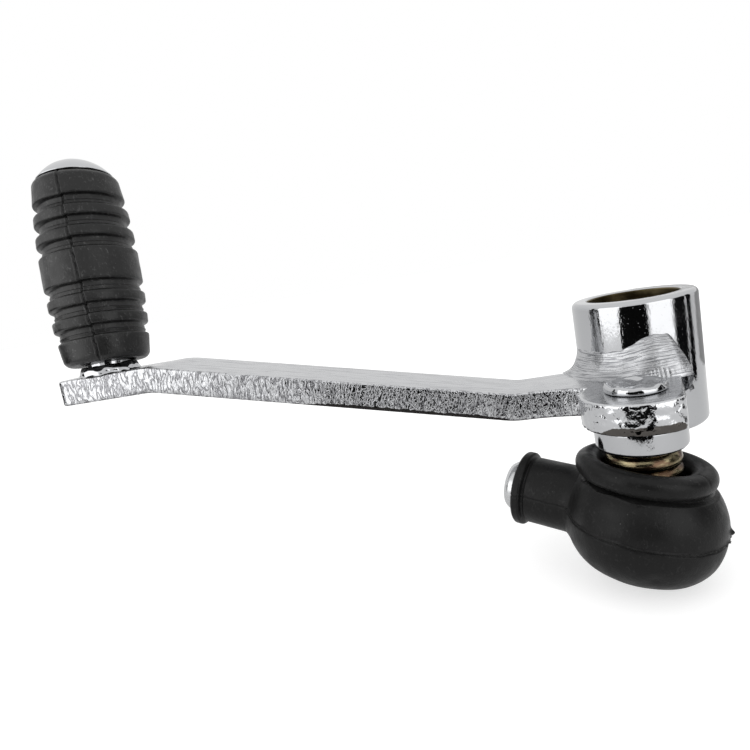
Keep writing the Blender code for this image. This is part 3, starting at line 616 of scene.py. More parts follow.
class PEDAL_OT_pivot_tube(bpy.types.Operator):
    """Turn the pivot tube, with its chromed outside and its bare bore"""

    bl_idname = "pedal.pivot_tube"
    bl_label = "Pivot Tube"

    def execute(self, context):
        s = sizes(context)
        outer, bore, half = s["tube_diameter"] / 2, s["tube_bore"] / 2, s["tube_length"] / 2
        edge, lead = 0.7, 0.35
        corners = [
            (bore + lead, half), (outer - edge, half), (outer, half - edge), (outer, edge - half),
            (outer - edge, -half), (bore + lead, -half), (bore, lead - half), (bore, half - lead),
        ]
        profile = rounded(corners, [0.12, 0.4, 0.5, 0.5, 0.4, 0.12, 0.2, 0.2], closed=True)
        obj = skin("pivot_tube_chromed", lathe(spaced(profile, 1.2), 256), loop=True)
        paint(obj, "polished_chrome_plate", "reamed_bore_steel",
              choose=lambda centre: int(math.hypot(centre.x, centre.y) < bore + 0.2))
        dress(obj, "lever", "chrome", "pivot_tube")
        return {"FINISHED"}


def arc(centre, radius, start_angle, end_angle, steps):
    angles = np.linspace(start_angle, end_angle, steps + 1)
    return [(centre[0] + radius * math.cos(a), centre[1] + radius * math.sin(a)) for a in angles]


def blank_outline(s):
    """the flat blank from above: the arm's end and far side, the notch round the tube, the lug, the flare"""
    tube = s["tube_diameter"] / 2
    near, far = -tube, -tube + s["arm_width"]
    end = -(s["first_bend"] + s["slope"] + s["peg_from_bend"] + s["arm_tail"])
    corner = 2.5
    outline = arc((end + corner, near + corner), corner, 1.5 * math.pi, math.pi, 10)
    outline += arc((end + corner, far - corner), corner, math.pi, 0.5 * math.pi, 10)
    lug_back, lug_out = 6.9, 10.2
    lug = np.array((-lug_back, near - lug_out))
    lean = math.radians(15.6)
    normal = np.array((math.cos(lean), -math.sin(lean)))
    along = np.array((-math.sin(lean), -math.cos(lean)))
    side, nose = 8.15, 2.5
    from_tube = lug @ normal + side
    notch = tube + 0.05
    top = normal * from_tube + along * math.sqrt(notch**2 - from_tube**2)
    outline += arc((0, 0), notch, math.pi - math.asin(far / notch), math.atan2(top[1], top[0]) + TURN, 60)
    inner = normal * (side - nose) + along * math.sqrt((s["lug_radius"] - nose) ** 2 - (side - nose) ** 2)
    lug_start = math.atan2(inner[1], inner[0])
    outline += arc(lug + inner, nose, -lean, lug_start, 12)
    flare, flare_centre = 30.6, np.array((-29.0, near - 30.6))
    apart = flare_centre - lug
    distance = np.hypot(*apart)
    run = (s["lug_radius"] ** 2 - flare**2 + distance**2) / (2 * distance)
    across = math.sqrt(s["lug_radius"] ** 2 - run**2)
    unit = apart / distance
    meet = lug + unit * run - np.array((-unit[1], unit[0])) * across
    lug_end = math.atan2(meet[1] - lug[1], meet[0] - lug[0]) - TURN
    outline += arc(lug, s["lug_radius"], lug_start, lug_end, 90)[1:]
    flare_start = math.atan2(meet[1] - flare_centre[1], meet[0] - flare_centre[0])
    outline += arc(flare_centre, flare, flare_start, 0.5 * math.pi, 24)[1:]
    return spaced(outline + outline[:1], 0.3)[:-1], lug


class PEDAL_OT_arm(bpy.types.Operator):
    """Press the arm: a blank with rolled-over edges and torn sides, folded at its two bends"""

    bl_idname = "pedal.arm"
    bl_label = "Arm"

    on_face, on_edge, on_rim = range(3)

    def sheared_side(self, s, outline, lug):
        """the blank's side: rolled over at the top, torn by the shear, and burred at its lower corner"""
        before, after = np.roll(outline, 1, axis=0), np.roll(outline, -1, axis=0)
        tangent = after - before
        outward = np.stack([-tangent[:, 1], tangent[:, 0]], axis=1) / np.hypot(*tangent.T)[:, None]
        rim = [(0.5, 0.0), (0.3, -0.03), (0.14, -0.12), (0.05, -0.28)]
        rim += [(0.0, drop) for drop in np.linspace(-0.55, -5.5, 17)]
        rim += [(0.05, -5.75), (0.16, -5.93), (0.4, -6.0)]
        lowest = rim[-1][1]
        on_lug = ease(np.hypot(*(outline - lug).T), s["lug_radius"] + 1.5, s["lug_radius"] + 0.3)
        rows = []
        for i, (inset, drop) in enumerate(rim):
            ring = np.empty((len(outline), 3))
            ring[:, :2] = outline - outward * inset
            ring[:, 2] = s["plate_top"] - drop * s["plate"] / lowest
            if 3 < i < len(rim) - 1:
                torn = clouds(ring * (1, 1, 0.4), 1.8, 7.0) * 0.03
                lumps = clouds(ring * (1, 1, 1.3), 1.5, 3.0) * 0.15 * on_lug
                chipped = ease(clouds(ring * (1, 1, 0), 1.2, 3.0, 2), -0.1, 0.3)
                ragged = -0.22 * ease(-drop, 5.1, 5.6) * chipped
                ring[:, :2] += outward * (torn + lumps + ragged)[:, None]
            rows.append(ring)
        return np.array(rows)

    def close_faces(self, bm, s):
        """closes the blank's two open rims with its broad faces"""
        near_enough = 0.0003 * MM
        for height in (s["plate_top"], s["plate_top"] - s["plate"]):
            rim_edges = [edge for edge in bm.edges if edge.is_boundary]
            level_edges = [edge for edge in rim_edges if abs(edge.verts[0].co.z - height * MM) < near_enough]
            bmesh.ops.contextual_create(bm, geom=level_edges)
        broad_faces = [face for face in bm.faces if len(face.verts) > 4]
        if len(broad_faces) != 2:
            raise RuntimeError(f"the arm's two faces weren't closed: {len(broad_faces)}")
        for face in broad_faces:
            face.material_index = self.on_face
        bmesh.ops.triangulate(bm, faces=broad_faces)

    def cut_bends(self, bm, s):
        """cuts across each bend's run, so that it folds smoothly"""
        near_enough = 0.00005 * MM
        for start, skew, angle in bends(s):
            run = s["bend_radius"] * abs(angle) * math.cos(skew)
            normal = (-math.cos(skew), math.sin(skew), 0.0)
            for step in np.linspace(-run / 8, 7 * run / 8, 13):
                point = (np.array((-start, arm_middle(s), 0.0)) + np.array(normal) * step) * MM
                everything = bm.verts[:] + bm.edges[:] + bm.faces[:]
                bmesh.ops.bisect_plane(bm, geom=everything, dist=near_enough, plane_co=point, plane_no=normal)

    def execute(self, context):
        s = sizes(context)
        outline, lug = blank_outline(s)
        obj = skin("arm_pressed", self.sheared_side(s, outline, lug))
        mesh = obj.data
        bm = bmesh.new()
        bm.from_mesh(mesh)
        for face in bm.faces:
            face.material_index = self.on_edge
        self.close_faces(bm, s)
        self.cut_bends(bm, s)
        bmesh.ops.recalc_face_normals(bm, faces=bm.faces)
        for face in bm.faces:
            centre = face.calc_center_median() / MM
            from_lug = math.hypot(centre.x - lug[0], centre.y - lug[1])
            if face.material_index == self.on_edge and from_lug < s["lug_radius"] + 0.7:
                face.material_index = self.on_rim
            face.smooth = True
        bm.to_mesh(mesh)
        bm.free()
        flat = np.array([v.co for v in mesh.vertices]) / MM
        mesh.attributes.new("blank", "FLOAT_VECTOR", "POINT").data.foreach_set("vector", flat.ravel())
        mesh.vertices.foreach_set("co", (bent(flat, flat, s) * MM).ravel())
        mesh.update()
        weighted = obj.modifiers.new("flat_faces", "WEIGHTED_NORMAL")
        weighted.weight = 100
        paint(obj, "linished_chrome_plate", "blanked_edge_chrome", "hammered_lug_chrome")
        dress(obj, "lever", "rough_chrome", "arm_plate")
        return {"FINISHED"}


class PEDAL_OT_tube_weld(bpy.types.Operator):
    """Lay the weld round the tube, over the plate and down the corner beside the lug"""

    bl_idname = "pedal.tube_weld"
    bl_label = "Tube Weld"

    def execute(self, context):
        s = sizes(context)
        tube, plate = s["tube_diameter"] / 2, s["plate_top"]
        # From the arm's far side it runs to the lug, swells beside the stud and drops down the corner there
        angles = np.radians(np.linspace(174, 302.5, 420))
        start_up = ease(angles, *np.radians((172, 180)))
        swell = ease(angles, *np.radians((236, 270))) - 0.1 * bell(angles, math.radians(280), 0.08)
        down = ease(angles, *np.radians((290.5, 297)))
        fall = np.clip((angles - math.radians(281)) / math.radians(21.6), 0, 1) ** 1.5
        high = plate + s["weld_height"] * (0.8 + 0.2 * start_up) + s["weld_swell"] * swell
        high = high + (plate - 2.8 - high) * fall + 0.06 * np.sin(angles * 31)
        low = plate - 5.2 * down * (1 - 0.2 * fall)
        leg = (s["weld_reach"] + 0.35 * bell(angles, math.radians(282), 0.2)) * (1 - 0.86 * down)
        hollow = 0.16 + 0.5 * ease(angles, *np.radians((232, 268))) * (1 - 0.4 * down)
        # Each section curves from the tube to the foot, and is drawn in by its hollow
        share = np.linspace(0, 1, 44)[:, None]
        drawn, foot = 2 * share * (1 - share), share**2
        radial = (drawn * hollow + foot) * leg
        height = (1 - share) ** 2 * high + drawn * (low + hollow * (high - low)) + foot * low
        radial = np.vstack([radial[:1] - 0.5, radial, radial[-1:] + 0.05])
        height = np.vstack([height[:1] - 0.15, height, height[-1:] - 0.4])
        share = np.concatenate([[0], share[:, 0], [1]])[:, None]
        grid = np.stack([(tube + radial) * np.cos(angles), (tube + radial) * np.sin(angles), height], axis=-1)
        # File teeth at the foot beside the stud, 0.72 mm apart
        run = angles * (tube + 2)
        teeth = np.sin(run / 0.72 * TURN + 1.5 * np.sin(run))
        filed = bell(share, 0.92, 0.06) * bell(angles, math.radians(268), math.radians(10)) * (1 - down)
        ripple = 0.09 * teeth * filed
        lumps = 0.09 * clouds(grid, 3.2, 11.0, 2) * bell(share, 0.5, 0.42) + 0.012 * clouds(grid, 0.9, 5.0)
        out = np.stack([np.cos(angles), np.sin(angles), np.full_like(angles, 0.8)], axis=-1) / 1.28
        grid = grid + out[None] * (ripple + lumps)[..., None]
        obj = skin("tube_weld_bead", grid, ring=False)
        uv = obj.data.uv_layers.new(name="bead")
        points = np.array([v.co for v in obj.data.vertices])
        around = np.arctan2(points[:, 1], points[:, 0]) % TURN * tube * MM
        away = np.hypot(points[:, 0], points[:, 1]) - points[:, 2]
        loops = np.empty(len(obj.data.loops), int)
        obj.data.loops.foreach_get("vertex_index", loops)
        uv.data.foreach_set("uv", np.stack([around[loops], away[loops]], axis=1).ravel())
        paint(obj, "dressed_weld_chrome")
        dress(obj, "lever", "weld_chrome", "tube_weld")
        return {"FINISHED"}


class PEDAL_OT_toe_peg(bpy.types.Operator):
    """Turn the toe peg with its domed head, and lay the crumpled bead round its foot"""

    bl_idname = "pedal.toe_peg"
    bl_label = "Toe Peg"

    def execute(self, context):
        s = sizes(context)
        square, leaning = peg_frames(s)
        head, rise, base = 8.8, 4.8, 48.0
        shank, shoulder, pin = 5.0, 0.9, 4.0
        dome = (head**2 + rise**2) / (2 * rise)
        angles = np.linspace(0, math.asin(head / dome), 30)
        profile = [(dome * math.sin(a), base + rise - dome + dome * math.cos(a)) for a in angles[:-1]]
        under = [(head - 0.02, base + 0.2), (head - 0.1, base), (shank, base)]
        profile += rounded(under + [(shank, shoulder), (pin, shoulder)], 0.1)
        profile += rounded([(pin, -5.2), (pin - 0.4, -s["plate"]), (0.0, -s["plate"] + 0.1)], 0.3)
        grid = lathe(spaced(profile, 1.5), 128)
        grid[..., 2] += 0.05 * clouds(grid, 3.0, 2.0, 2) * ease(grid[..., 2], base + 0.5, base + 2)
        peg = skin("toe_peg_chromed", grid, leaning)
        paint(peg, "polished_chrome_plate")
        dress(peg, "lever", "chrome", "toe_peg")

        inner, outer, top = 4.9, 7.1, 2.15
        bead = [(inner, top), (outer - 1.0, top), (outer - 0.2, 0.55 * top)]
        bead += [(outer, 0.3), (outer + 0.4, -0.15)]
        grid = lathe(spaced(rounded(bead, 0.5), 0.12), 260)
        around = np.arctan2(grid[..., 1], grid[..., 0])
        beads = 0.03 * np.sin(around * 13 + 3 * np.sin(around * 3))
        crumple = 0.34 * clouds(grid * (1, 1, 0.8), 2.4, 21.0, 2) + beads
        body = ease(grid[..., 2], -0.1, 0.5)
        grid[..., 0] += np.cos(around) * crumple * body
        grid[..., 1] += np.sin(around) * crumple * body
        grid[..., 2] += 0.5 * crumple * body
        weld = skin("toe_peg_bead", grid, square)
        paint(weld, "polished_chrome_plate")
        dress(weld, "lever", "weld_chrome", "peg_weld")
        return {"FINISHED"}


class PEDAL_OT_toe_rubber(bpy.types.Operator):
    """Mould the ribbed toe rubber in two halves that meet a little out of line"""

    bl_idname = "pedal.toe_rubber"
    bl_label = "Toe Rubber"

    def execute(self, context):
        s = sizes(context)
        leaning = peg_frames(s)[1]
        bottom, end_band, middle_band, rib, groove = 2.4, 5.8, 7.5, 2.2, 2.9
        bands = [end_band, rib, rib, middle_band, rib, rib, end_band]
        length = sum(bands) + 6 * groove
        depth, half = s["groove_depth"], length / 2

        def outer(height):
            return s["sleeve_diameter"] / 2 - s["sleeve_barrel"] * ((height - bottom - half) / half) ** 2

        z = bottom + length
        profile, radii = [(5.3, z), (outer(z) - 0.9, z), (outer(z), z - 0.9)], [0, 0.5, 0.5]
        for i, band in enumerate(bands):
            z -= band
            if i == len(bands) - 1:
                profile += [(outer(z), z + 0.9), (outer(z) - 0.9, z), (5.3, z)]
                radii += [0.5, 0.5, 0]
                break
            low = z - groove
            # The floor of each groove has a shallow step, left by the mould's inserts
            floor = outer(z) - depth
            profile += [(outer(z), z), (floor, z - 0.5), (floor + 0.05, z - 0.55 * groove)]
            profile += [(floor + 0.22, z - 0.6 * groove), (outer(low) - depth + 0.2, low + 0.35)]
            profile += [(outer(low), low)]
            radii += [0.35, 0.25, 0.05, 0.05, 0.2, 0.35]
            z = low
        grid = lathe(spaced(rounded(profile, radii, 3), 0.6), 400)
        radius = np.hypot(grid[..., 0], grid[..., 1])
        azimuth = np.arctan2(grid[..., 1], grid[..., 0])
        # The seam winds from -79 degrees at the top to -68 at the foot, with a ragged edge
        up = (grid[..., 2] - bottom) / length
        height = np.stack([grid[..., 2], 0 * up, 0 * up], axis=-1)
        wander = 0.35 * clouds(height, 1.3, 4.0, 2)
        seam = np.radians(-68 - 11 * up) + wander / 11
        around = (azimuth - seam + math.pi) % TURN - math.pi
        across = around * radius
        back = (np.abs(around) - math.pi) * radius
        left = around < 0
        grid[..., 2] -= s["mould_shift"] * left * ease(up, 0.02, 0.08) * (1 - ease(up, 0.92, 0.98))
        height[..., 0] = grid[..., 2]
        tear = 0.5 + 0.5 * clouds(height, 0.8, 9.0, 2)
        seam_line = -0.5 * bell(across, 0, 0.16) * (0.6 + 0.6 * tear) - 0.2 * bell(back, 0, 0.15)
        flash = 0.2 * bell(across, -0.36, 0.14) * tear
        uneven = 0.03 * clouds(grid, 2.5, 1.0, 2)
        grid[..., :2] *= 1 + ((seam_line + flash + uneven) * (radius > 6) / radius)[..., None]
        obj = skin("toe_rubber_ribbed", grid, leaning)
        paint(obj, "ribbed_toe_rubber")
        dress(obj, "lever", "rubber", "toe_sleeve")
        return {"FINISHED"}


class PEDAL_OT_ball_stud(bpy.types.Operator):
    """Turn the ball stud, riveted over on the lug, and its bright collar"""

    bl_idname = "pedal.ball_stud"
    bl_label = "Ball Stud"

    def execute(self, context):
        s = sizes(context)
        ball = Vector(JOINTS["socket_tilt"]["pos_m"]) / MM
        place = Matrix.Translation(ball * MM)
        top = s["plate_top"] - ball.z
        shank, neck, ball_radius = 4.0, 4.2, 7.0
        gap, collar_radius, collar_height = 0.3, 8.5, 4.8
        collar_top = top - s["plate"] - gap
        collar_low = collar_top - collar_height
        # Radius and height of the riveted head over the lug, and of the two beads under the collar
        head = [(0, 0.75), (2.6, 0.7), (4.1, 0.95), (4.9, 1.5), (5.5, 1.45), (5.85, 0.7), (5.8, 0.1)]
        head += [(shank, 0.05), (shank, -6.0)]
        head = rounded([(radius, top + height) for radius, height in head], 0.5)
        beads = [(shank, 0), (5.5, 0), (6.7, -1.0), (7.1, -2.1), (6.9, -3.1), (6.35, -3.6), (6.5, -3.75)]
        beads += [(7.05, -4.3), (6.9, -5.1), (6.2, -5.4), (neck, -5.5)]
        beads = [(radius, collar_low - gap + height) for radius, height in beads]
        body = rounded(beads, [0, 0.3, 0.8, 0.8, 0.5, 0.1, 0.1, 0.4, 0.4, 0.2, 0])
        for angle in np.linspace(math.asin(neck / ball_radius), math.pi, 40):
            body.append((ball_radius * math.sin(angle), ball_radius * math.cos(angle)))
        grid = lathe(spaced(head + body, 0.35), 192)
        peened = ease(grid[..., 2], top + 0.3, top + 0.8)
        grid[..., 2] += (0.4 * clouds(grid, 3.0, 14.0, 2) - 0.03 * grid[..., 0]) * peened
        obj = skin("ball_stud_riveted", grid, place)
        split = s["plate_top"] - s["plate"] / 2
        paint(obj, "polished_chrome_plate", "passivated_stud_steel",
              choose=lambda centre: int(centre.z < split))
        dress(obj, "lever", "bronzed_steel", "ball_stud")

        bore = shank + gap
        ring = [(bore, collar_top), (collar_radius - 0.4, collar_top), (collar_radius, collar_top - 0.4)]
        ring += [(collar_radius, collar_low + 0.5), (collar_radius - 0.5, collar_low), (bore, collar_low)]
        grid = lathe(spaced(rounded(ring, [0, 0.25, 0.3, 0.5, 0.5, 0], closed=True), 0.5), 192)
        grid[..., :2] *= 1 + 0.003 * clouds(grid, 3.5, 6.0, 2)[..., None]
        collar = skin("stud_collar_chromed", grid, place, loop=True)
        paint(collar, "polished_chrome_plate")
        dress(collar, "lever", "chrome", "stud_collar")
        return {"FINISHED"}


class PEDAL_OT_ball_socket(bpy.types.Operator):
    """Forge the socket and its neck, tapped for the link rod, and finish its cap and seats"""

    bl_idname = "pedal.ball_socket"
    bl_label = "Ball Socket"

    def execute(self, context):
        place = ball_frame()
        outside = [(6.9, 6.3), (7.75, 6.3), (10.4, 4.5), (11.2, 2.2), (11.2, -4.7), (8.9, -8.9), (7.7, -8.9)]
        inside = [(9.3 * math.sin(a), 9.3 * math.cos(a)) for a in np.linspace(2.18, 0.84, 16)]
        cup = skin("socket_cup", lathe(rounded(outside, 0.4) + inside, 96), place, loop=True)
        end, hole, pitch, depth = 29.2, 3.0, 1.0, 13.0
        outer = [(hole, end - 0.5), (3.35, end), (4.5, end), (5.4, end - 1.1), (5.4, 8.9)]
        neck = skin("socket_neck", on_x(lathe(spaced(rounded(outer, [0, 0.1, 0.5, 0.6, 0]), 0.6), 96)), place)
        rows = np.linspace(end - depth, end - 0.5, 150)
        grid = lathe([(hole, x) for x in rows], 64)
        around = np.arctan2(grid[..., 1], grid[..., 0]) / TURN
        wave = np.abs(((grid[..., 2] / pitch - around) % 1) * 2 - 1)
        grid[..., :2] *= 1 - (0.16 * wave * (grid[..., 2] < end - 0.9))[..., None]
        thread = skin("rod_thread", on_x(grid), place)
        floor = skin("thread_floor", on_x(lathe([(0.0, end - depth - 1.0), (hole, end - depth)], 64)), place)
        obj = join("ball_socket_forged", cup, neck, thread, floor)
        paint(obj, "zinc_plated_forging")
        dress(obj, "socket", "forged_steel", "ball_socket")
        for node, name in (("socket_cap", "zinc_plated_forging"), ("seat_upper", "moulded_nylon"),
                           ("seat_lower", "moulded_nylon")):
            frame["nodes"][node].data.materials.clear()
            frame["nodes"][node].data.materials.append(finish(name))
        return {"FINISHED"}


def bulb_gap(points, s):
    """how far points in the boot's frame lie outside the bulb"""
    local = points - (BULB_FORWARD, 0, 0)
    radius = np.hypot(local[..., 0], local[..., 1])
    share = ((radius / s["boot_radius"]) ** 2 + (np.abs(local[..., 2]) / 13.0) ** 2) ** 0.5
    return (share - 1) * 13.5


class PEDAL_OT_dust_boot(bpy.types.Operator):
    """Mould the dust boot: bulb, sleeve and fat lip, with ragged flash along the parting line"""

    bl_idname = "pedal.dust_boot"
    bl_label = "Dust Boot"

    sleeve_radius = 7.15

    def bulb(self, s, place):
        """the bulb, whose edge is tucked under the lip, clear of the stud when the joint tilts"""
        radius, depth, fillet, flash = s["boot_radius"], s["boot_depth"], s["boot_fillet"], s["flash"]
        slit = 13.7
        profile = [(10.9, 3.4), (10.85, 7.6)]
        profile += [(slit * math.sin(a), slit * math.cos(a)) for a in np.linspace(0.93, 1.0, 6)]
        bulge = math.sqrt(1 - (12.3 / radius) ** 2)
        profile += [(radius * math.sqrt(1 - (bulge * t) ** 2), 7.2 * t) for t in np.linspace(0.97, 0, 26)]
        # Its lower half is squarer than round
        square = 2 / 2.6
        for angle in np.linspace(0, 0.5 * math.pi, 70)[1:]:
            across = max(0.0, math.cos(angle)) ** square
            profile.append((radius * across, -depth * math.sin(angle) ** square))
        grid = lathe(spaced(profile, 0.45, [(-1.7, 1.0), (6.3, 7.3)]), 440)
        up = grid[..., 2].copy()
        azimuth = np.arctan2(grid[..., 1], grid[..., 0])
        grid[..., 0] += BULB_FORWARD
        degrees = np.degrees(azimuth)
        line = np.stack([np.cos(azimuth) * radius, np.sin(azimuth) * radius, 0 * azimuth], axis=-1)
        parting = -0.8 + 0.18 * clouds(line, 3.0, 2.0, 2) + 1.3 * (1 - ease(np.abs(degrees), 24, 42))
        ragged = 0.35 + 0.9 * np.maximum(0, clouds(line, 0.7, 8.0, 2))
        ridge = flash * ragged * bell(up, parting, 0.13) - 0.26 * bell(up, parting - 0.38, 0.17)
        torn = 0.2 + 1.1 * np.maximum(0, clouds(line, 0.8, 17.0, 2))
        pinch = flash * torn * bell(up, 6.75 + 0.12 * np.sin(azimuth * 11), 0.13)
        pinch = pinch * ease(degrees, 14, 24) * (1 - ease(degrees, 92, 104))
        # A moulding nub stands on the side away from the neck
        nub = 0.75 * bell((degrees + 180 + 90) % 360 - 90, 3.0, 2.6) * bell(up, 0.55, 0.6)
        dents = 0.07 * clouds(grid, 5.0, 3.0, 2) - 0.25 * bell(degrees, 112, 6) * bell(up, -6.8, 1.3)
        to_sleeve = np.hypot(grid[..., 1], grid[..., 2]) - self.sleeve_radius
        root = np.where(grid[..., 0] > 0, np.maximum(0, fillet - np.abs(to_sleeve)) ** 2 / (4 * fillet), 0)
        out = grid - (BULB_FORWARD, 0, 0)
        out = out / np.maximum(1e-6, np.linalg.norm(out, axis=-1))[..., None]
        grid = grid + out * ((ridge + pinch + nub + dents + root) * (up < 7.4))[..., None]
        return skin("boot_bulb", grid, place)

    def sleeve(self, s, place):
        """the sleeve along the neck, out to its flange and back inside"""
        radius, fillet, flash = self.sleeve_radius, s["boot_fillet"], s["flash"]
        flange = 8.0
        tube = [(flange, 9.0), (radius, 9.0), (radius, 23.7), (radius - 0.25, 24.0), (radius - 0.1, 24.3)]
        tube += [(7.75, 24.5), (flange, 24.8), (flange, 26.0), (7.6, 26.4), (5.75, 26.4), (5.7, 24.0)]
        grid = on_x(lathe(spaced(rounded(tube, 0.16)[1:], 0.3), 300)[::-1])
        around = np.arctan2(grid[..., 2], np.abs(grid[..., 1]))
        height = grid[..., 2]
        along = np.stack([grid[..., 0], 0 * height, 0 * height], axis=-1)
        parting = 0.75 + 0.12 * clouds(along, 1.6, 5.0, 2)
        ragged = 0.3 + 0.8 * np.maximum(0, clouds(along, 0.8, 12.0, 2))
        reach = np.hypot(grid[..., 1], grid[..., 2])
        ridge = 0.7 * flash * ragged * bell(height, parting, 0.13) - 0.2 * bell(height, parting - 0.36, 0.16)
        blend = np.maximum(0, fillet - np.maximum(0, bulb_gap(grid, s))) ** 2 / (4 * fillet)
        outside = (reach > radius - 0.6) & (np.abs(around) < 1.4)
        grow = ridge * outside + blend * (grid[..., 0] < 20)
        grid[..., 1:] *= 1 + (grow / np.maximum(reach, 1))[..., None]
        return skin("boot_sleeve", grid, place)

    def lip(self, place):
        """the lip, which rings the stud above the bulb"""
        stud = place.to_3x3().inverted() @ Vector((0, 0, 1))
        height, radius = 10.2, 13.0
        centre = Matrix.Translation((*(height * MM * stud.xy / stud.z), height * MM))
        ring = [(8.05, -1.4), (7.95, -0.4), (8.15, 0.6), (8.9, 1.35), (10.2, 2.05), (11.6, 2.05), (12.7, 1.15)]
        ring += [(radius, 0.0), (12.75, -1.2), (12.15, -2.0), (11.6, -2.35), (10.4, -0.9), (9.3, -0.2)]
        ring += [(8.6, 0.0)]
        grid = lathe(spaced(rounded(ring, 0.9, 4, closed=True), 0.4), 280)
        azimuth = np.arctan2(grid[..., 1], grid[..., 0])
        rim = np.stack([np.cos(azimuth) * radius, np.sin(azimuth) * radius, 0 * azimuth], axis=-1)
        seam = -0.12 * bell(np.degrees(azimuth), 158, 0.8) * (grid[..., 2] > 0)
        swell = 0.1 * clouds(rim, 9.0, 6.0) + 0.03 * clouds(grid, 2.0, 4.0)
        grid[..., 2] += seam + swell * ease(grid[..., 2], -1.6, 0)
        return skin("boot_lip_moulded", grid, place @ centre, loop=True)

    def execute(self, context):
        s = sizes(context)
        place = ball_frame()
        boot = join("dust_boot_moulded", self.bulb(s, place), self.sleeve(s, place))
        paint(boot, "moulded_boot_rubber")
        dress(boot, "socket", "rubber", "dust_boot")
        lip = self.lip(place)
        paint(lip, "moulded_boot_rubber")
        dress(lip, "lip", "rubber", "boot_lip")
        return {"FINISHED"}


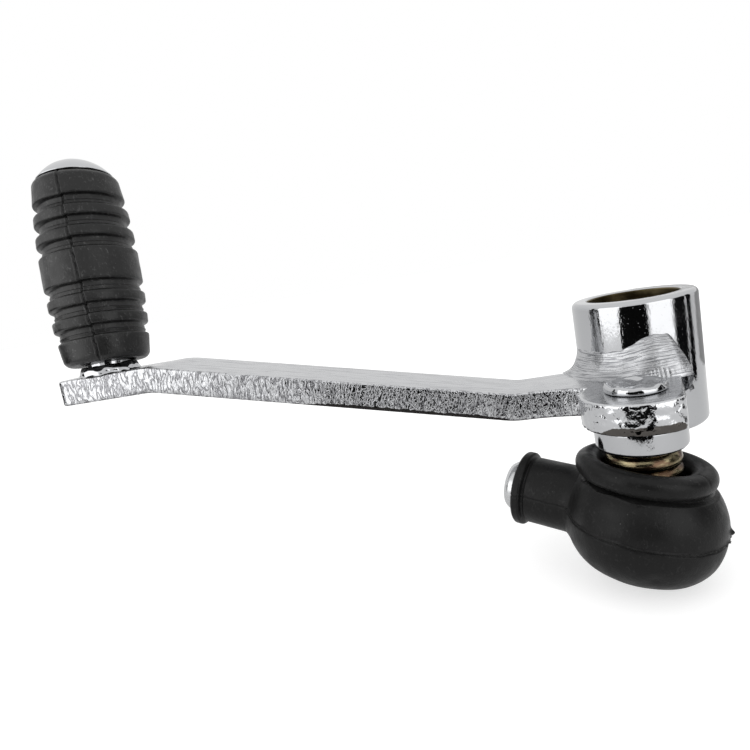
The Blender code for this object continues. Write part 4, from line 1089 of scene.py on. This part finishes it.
class PEDAL_OT_stage(bpy.types.Operator):
    """Set the paper floor, the soft light with its black cards, and the camera"""

    bl_idname = "pedal.stage"
    bl_label = "Stage"

    def panel(self, name, corners, material):
        """a flat panel of the stage between four corners in mm"""
        mesh = bpy.data.meshes.new(name)
        mesh.from_pydata([tuple(Vector(corner) * MM) for corner in corners], [], [(0, 1, 2, 3)])
        mesh.materials.append(material)
        obj = bpy.data.objects.new(name, mesh)
        bpy.context.scene.collection.objects.link(obj)
        return obj

    def card(self, name, low, high, tint, toe=0):
        """an upright card that only reflections see, between two corners in mm; its foot stands in by toe"""
        material, tree, shader = new_finish(name, tint, 0.9, 0.0)
        feed(tree, shader, {"Specular IOR Level": 0.1})
        (x0, y0, z0), (x1, y1, z1) = low, high
        corners = ((x0, y0 + toe, z0), (x1, y1 + toe, z0), (x1, y1, z1), (x0, y0, z1))
        obj = self.panel(name, corners, material)
        obj.visible_camera = obj.visible_diffuse = obj.visible_shadow = obj.visible_transmission = False

    def softbox(self, name, at, aim, side, brightness):
        """a square lamp from at to aim, both in mm, which the camera doesn't see"""
        light = bpy.data.lights.new(name, "AREA")
        light.shape = "RECTANGLE"
        light.size = light.size_y = side * MM
        light.energy = brightness * math.pi * light.size * light.size_y
        obj = bpy.data.objects.new(name, light)
        bpy.context.scene.collection.objects.link(obj)
        obj.location = Vector(at) * MM
        direction = (Vector(aim) - Vector(at)).normalized()
        obj.rotation_euler = direction.to_track_quat("-Z", "Y").to_euler()
        obj.visible_camera = False

    def floor(self, tint):
        """pale uncoated paper: matt, and lifted to white where the camera and the bright chrome see it"""
        material, tree, shader = new_finish("uncoated_white_paper", tint, 0.9, 0.0)
        path = add(tree, "LightPath")
        seen = add(tree, "Math", {0: path.outputs["Is Camera Ray"], 1: 0.6}, operation="MULTIPLY")
        mirrored = add(tree, "Math", {0: path.outputs["Is Glossy Ray"], 1: 0.25}, operation="MULTIPLY")
        lift = add(tree, "Math", {0: seen, 1: mirrored}, operation="MAXIMUM")
        white = {"Specular IOR Level": 0.1, "Emission Color": (1, 1, 1, 1), "Emission Strength": lift}
        feed(tree, shader, white)
        half, gap = 3000, 0.3
        under = CAD_BOUNDS[0][2] / MM - gap
        corners = ((-half, -half, under), (half, -half, under), (half, half, under), (-half, half, under))
        self.panel("floor", corners, material)

    def tent(self, surround):
        """an even white world, a little brighter overhead, and plain white to the camera"""
        world = bpy.data.worlds.new("white_tent")
        bpy.context.scene.world = world
        world.use_nodes = True
        tree = world.node_tree
        up = add(tree, "SeparateXYZ", {"Vector": add(tree, "TexCoord").outputs["Generated"]}).outputs["Z"]
        dome = add(tree, "MapRange", span(up, 0.15, 0.9, surround, surround * 1.2), **EASED)
        camera_ray = add(tree, "LightPath").outputs["Is Camera Ray"]
        strength = add(tree, "Mix", {"Factor": camera_ray, 2: dome, 3: 1.0})
        feed(tree, tree.nodes["Background"], {"Strength": strength, "Color": (1, 1, 1, 1)})

    def camera(self):
        """the photograph's view"""
        at, lens, sensor = (-35.31, -140.98, 30.42), 28.8, 36
        yaw, pitch, roll = math.radians(-10.093), math.radians(9.862), math.radians(-10.674)
        camera = bpy.data.cameras.new("camera")
        camera.lens = lens
        camera.sensor_width = sensor
        camera.clip_start = MM
        obj = bpy.data.objects.new("camera", camera)
        bpy.context.scene.collection.objects.link(obj)
        flat = math.cos(pitch)
        forward = Vector((math.sin(yaw) * flat, math.cos(yaw) * flat, -math.sin(pitch)))
        right = Vector((math.cos(yaw), -math.sin(yaw), 0))
        above = right.cross(forward)
        side = right * math.cos(roll) + above * math.sin(roll)
        head = above * math.cos(roll) - right * math.sin(roll)
        obj.matrix_world = Matrix((side, head, -forward)).transposed().to_4x4()
        obj.matrix_world.translation = Vector(at) * MM
        bpy.context.scene.camera = obj

    def execute(self, context):
        stage = context.scene.pedal_stage
        self.floor(stage.floor)
        self.tent(stage.surround)
        self.card("black_card_front", (-104, -141, -40), (14, -141, 60), linear("#060606"), toe=22)
        self.card("black_card_right", (150, -98, -40), (150, -23, 70), linear("#08080A"))
        self.card("black_card_far_right", (150, -14, -40), (150, 22, 70), linear("#08080A"))
        self.card("grey_card_left", (-250, -54, -40), (-250, 44, 34), linear("#262626"))
        self.card("grey_card_back", (170, 75, -40), (45, 180, 32), linear("#A8A8A8"))
        self.softbox("softbox_right", (125, -195, 45), (0, -10, 5), 190, stage.right_box)
        self.softbox("softbox_left", (-250, -150, 60), (-60, -10, 10), 220, stage.left_box)
        self.camera()
        context.scene.view_settings.view_transform = "Standard"
        return {"FINISHED"}


STEPS = (
    PEDAL_OT_pivot_tube,
    PEDAL_OT_arm,
    PEDAL_OT_tube_weld,
    PEDAL_OT_toe_peg,
    PEDAL_OT_toe_rubber,
    PEDAL_OT_ball_stud,
    PEDAL_OT_ball_socket,
    PEDAL_OT_dust_boot,
    PEDAL_OT_stage,
)


class PEDAL_PT_panel(bpy.types.Panel):
    """Steps and settings of the gear pedal"""

    bl_idname = "PEDAL_PT_panel"
    bl_label = "Gear Shift Pedal"
    bl_space_type = "VIEW_3D"
    bl_region_type = "UI"
    bl_category = "Gear Pedal"

    def draw(self, context):
        column = self.layout.column(align=True)
        for step in STEPS:
            column.operator(step.bl_idname)
        for group in ("pedal_sizes", "rubber_sizes", "pedal_colours", "pedal_stage"):
            settings = getattr(context.scene, group)
            box = self.layout.box()
            for name in settings.__annotations__:
                box.prop(settings, name)


GROUPS = {
    "pedal_sizes": PedalSizes,
    "rubber_sizes": RubberSizes,
    "pedal_colours": PedalColours,
    "pedal_stage": PedalStage,
}


def register():
    for cls in (*GROUPS.values(), *STEPS, PEDAL_PT_panel):
        bpy.utils.register_class(cls)
    for name, cls in GROUPS.items():
        setattr(bpy.types.Scene, name, PointerProperty(type=cls))


def unregister():
    for name in GROUPS:
        delattr(bpy.types.Scene, name)
    for cls in reversed((*GROUPS.values(), *STEPS, PEDAL_PT_panel)):
        bpy.utils.unregister_class(cls)


def main():
    register()
    for step in STEPS:
        group, name = step.bl_idname.split(".")
        getattr(getattr(bpy.ops, group), name)()
    bpy.context.view_layer.update()


if __name__ == "__main__":
    main()
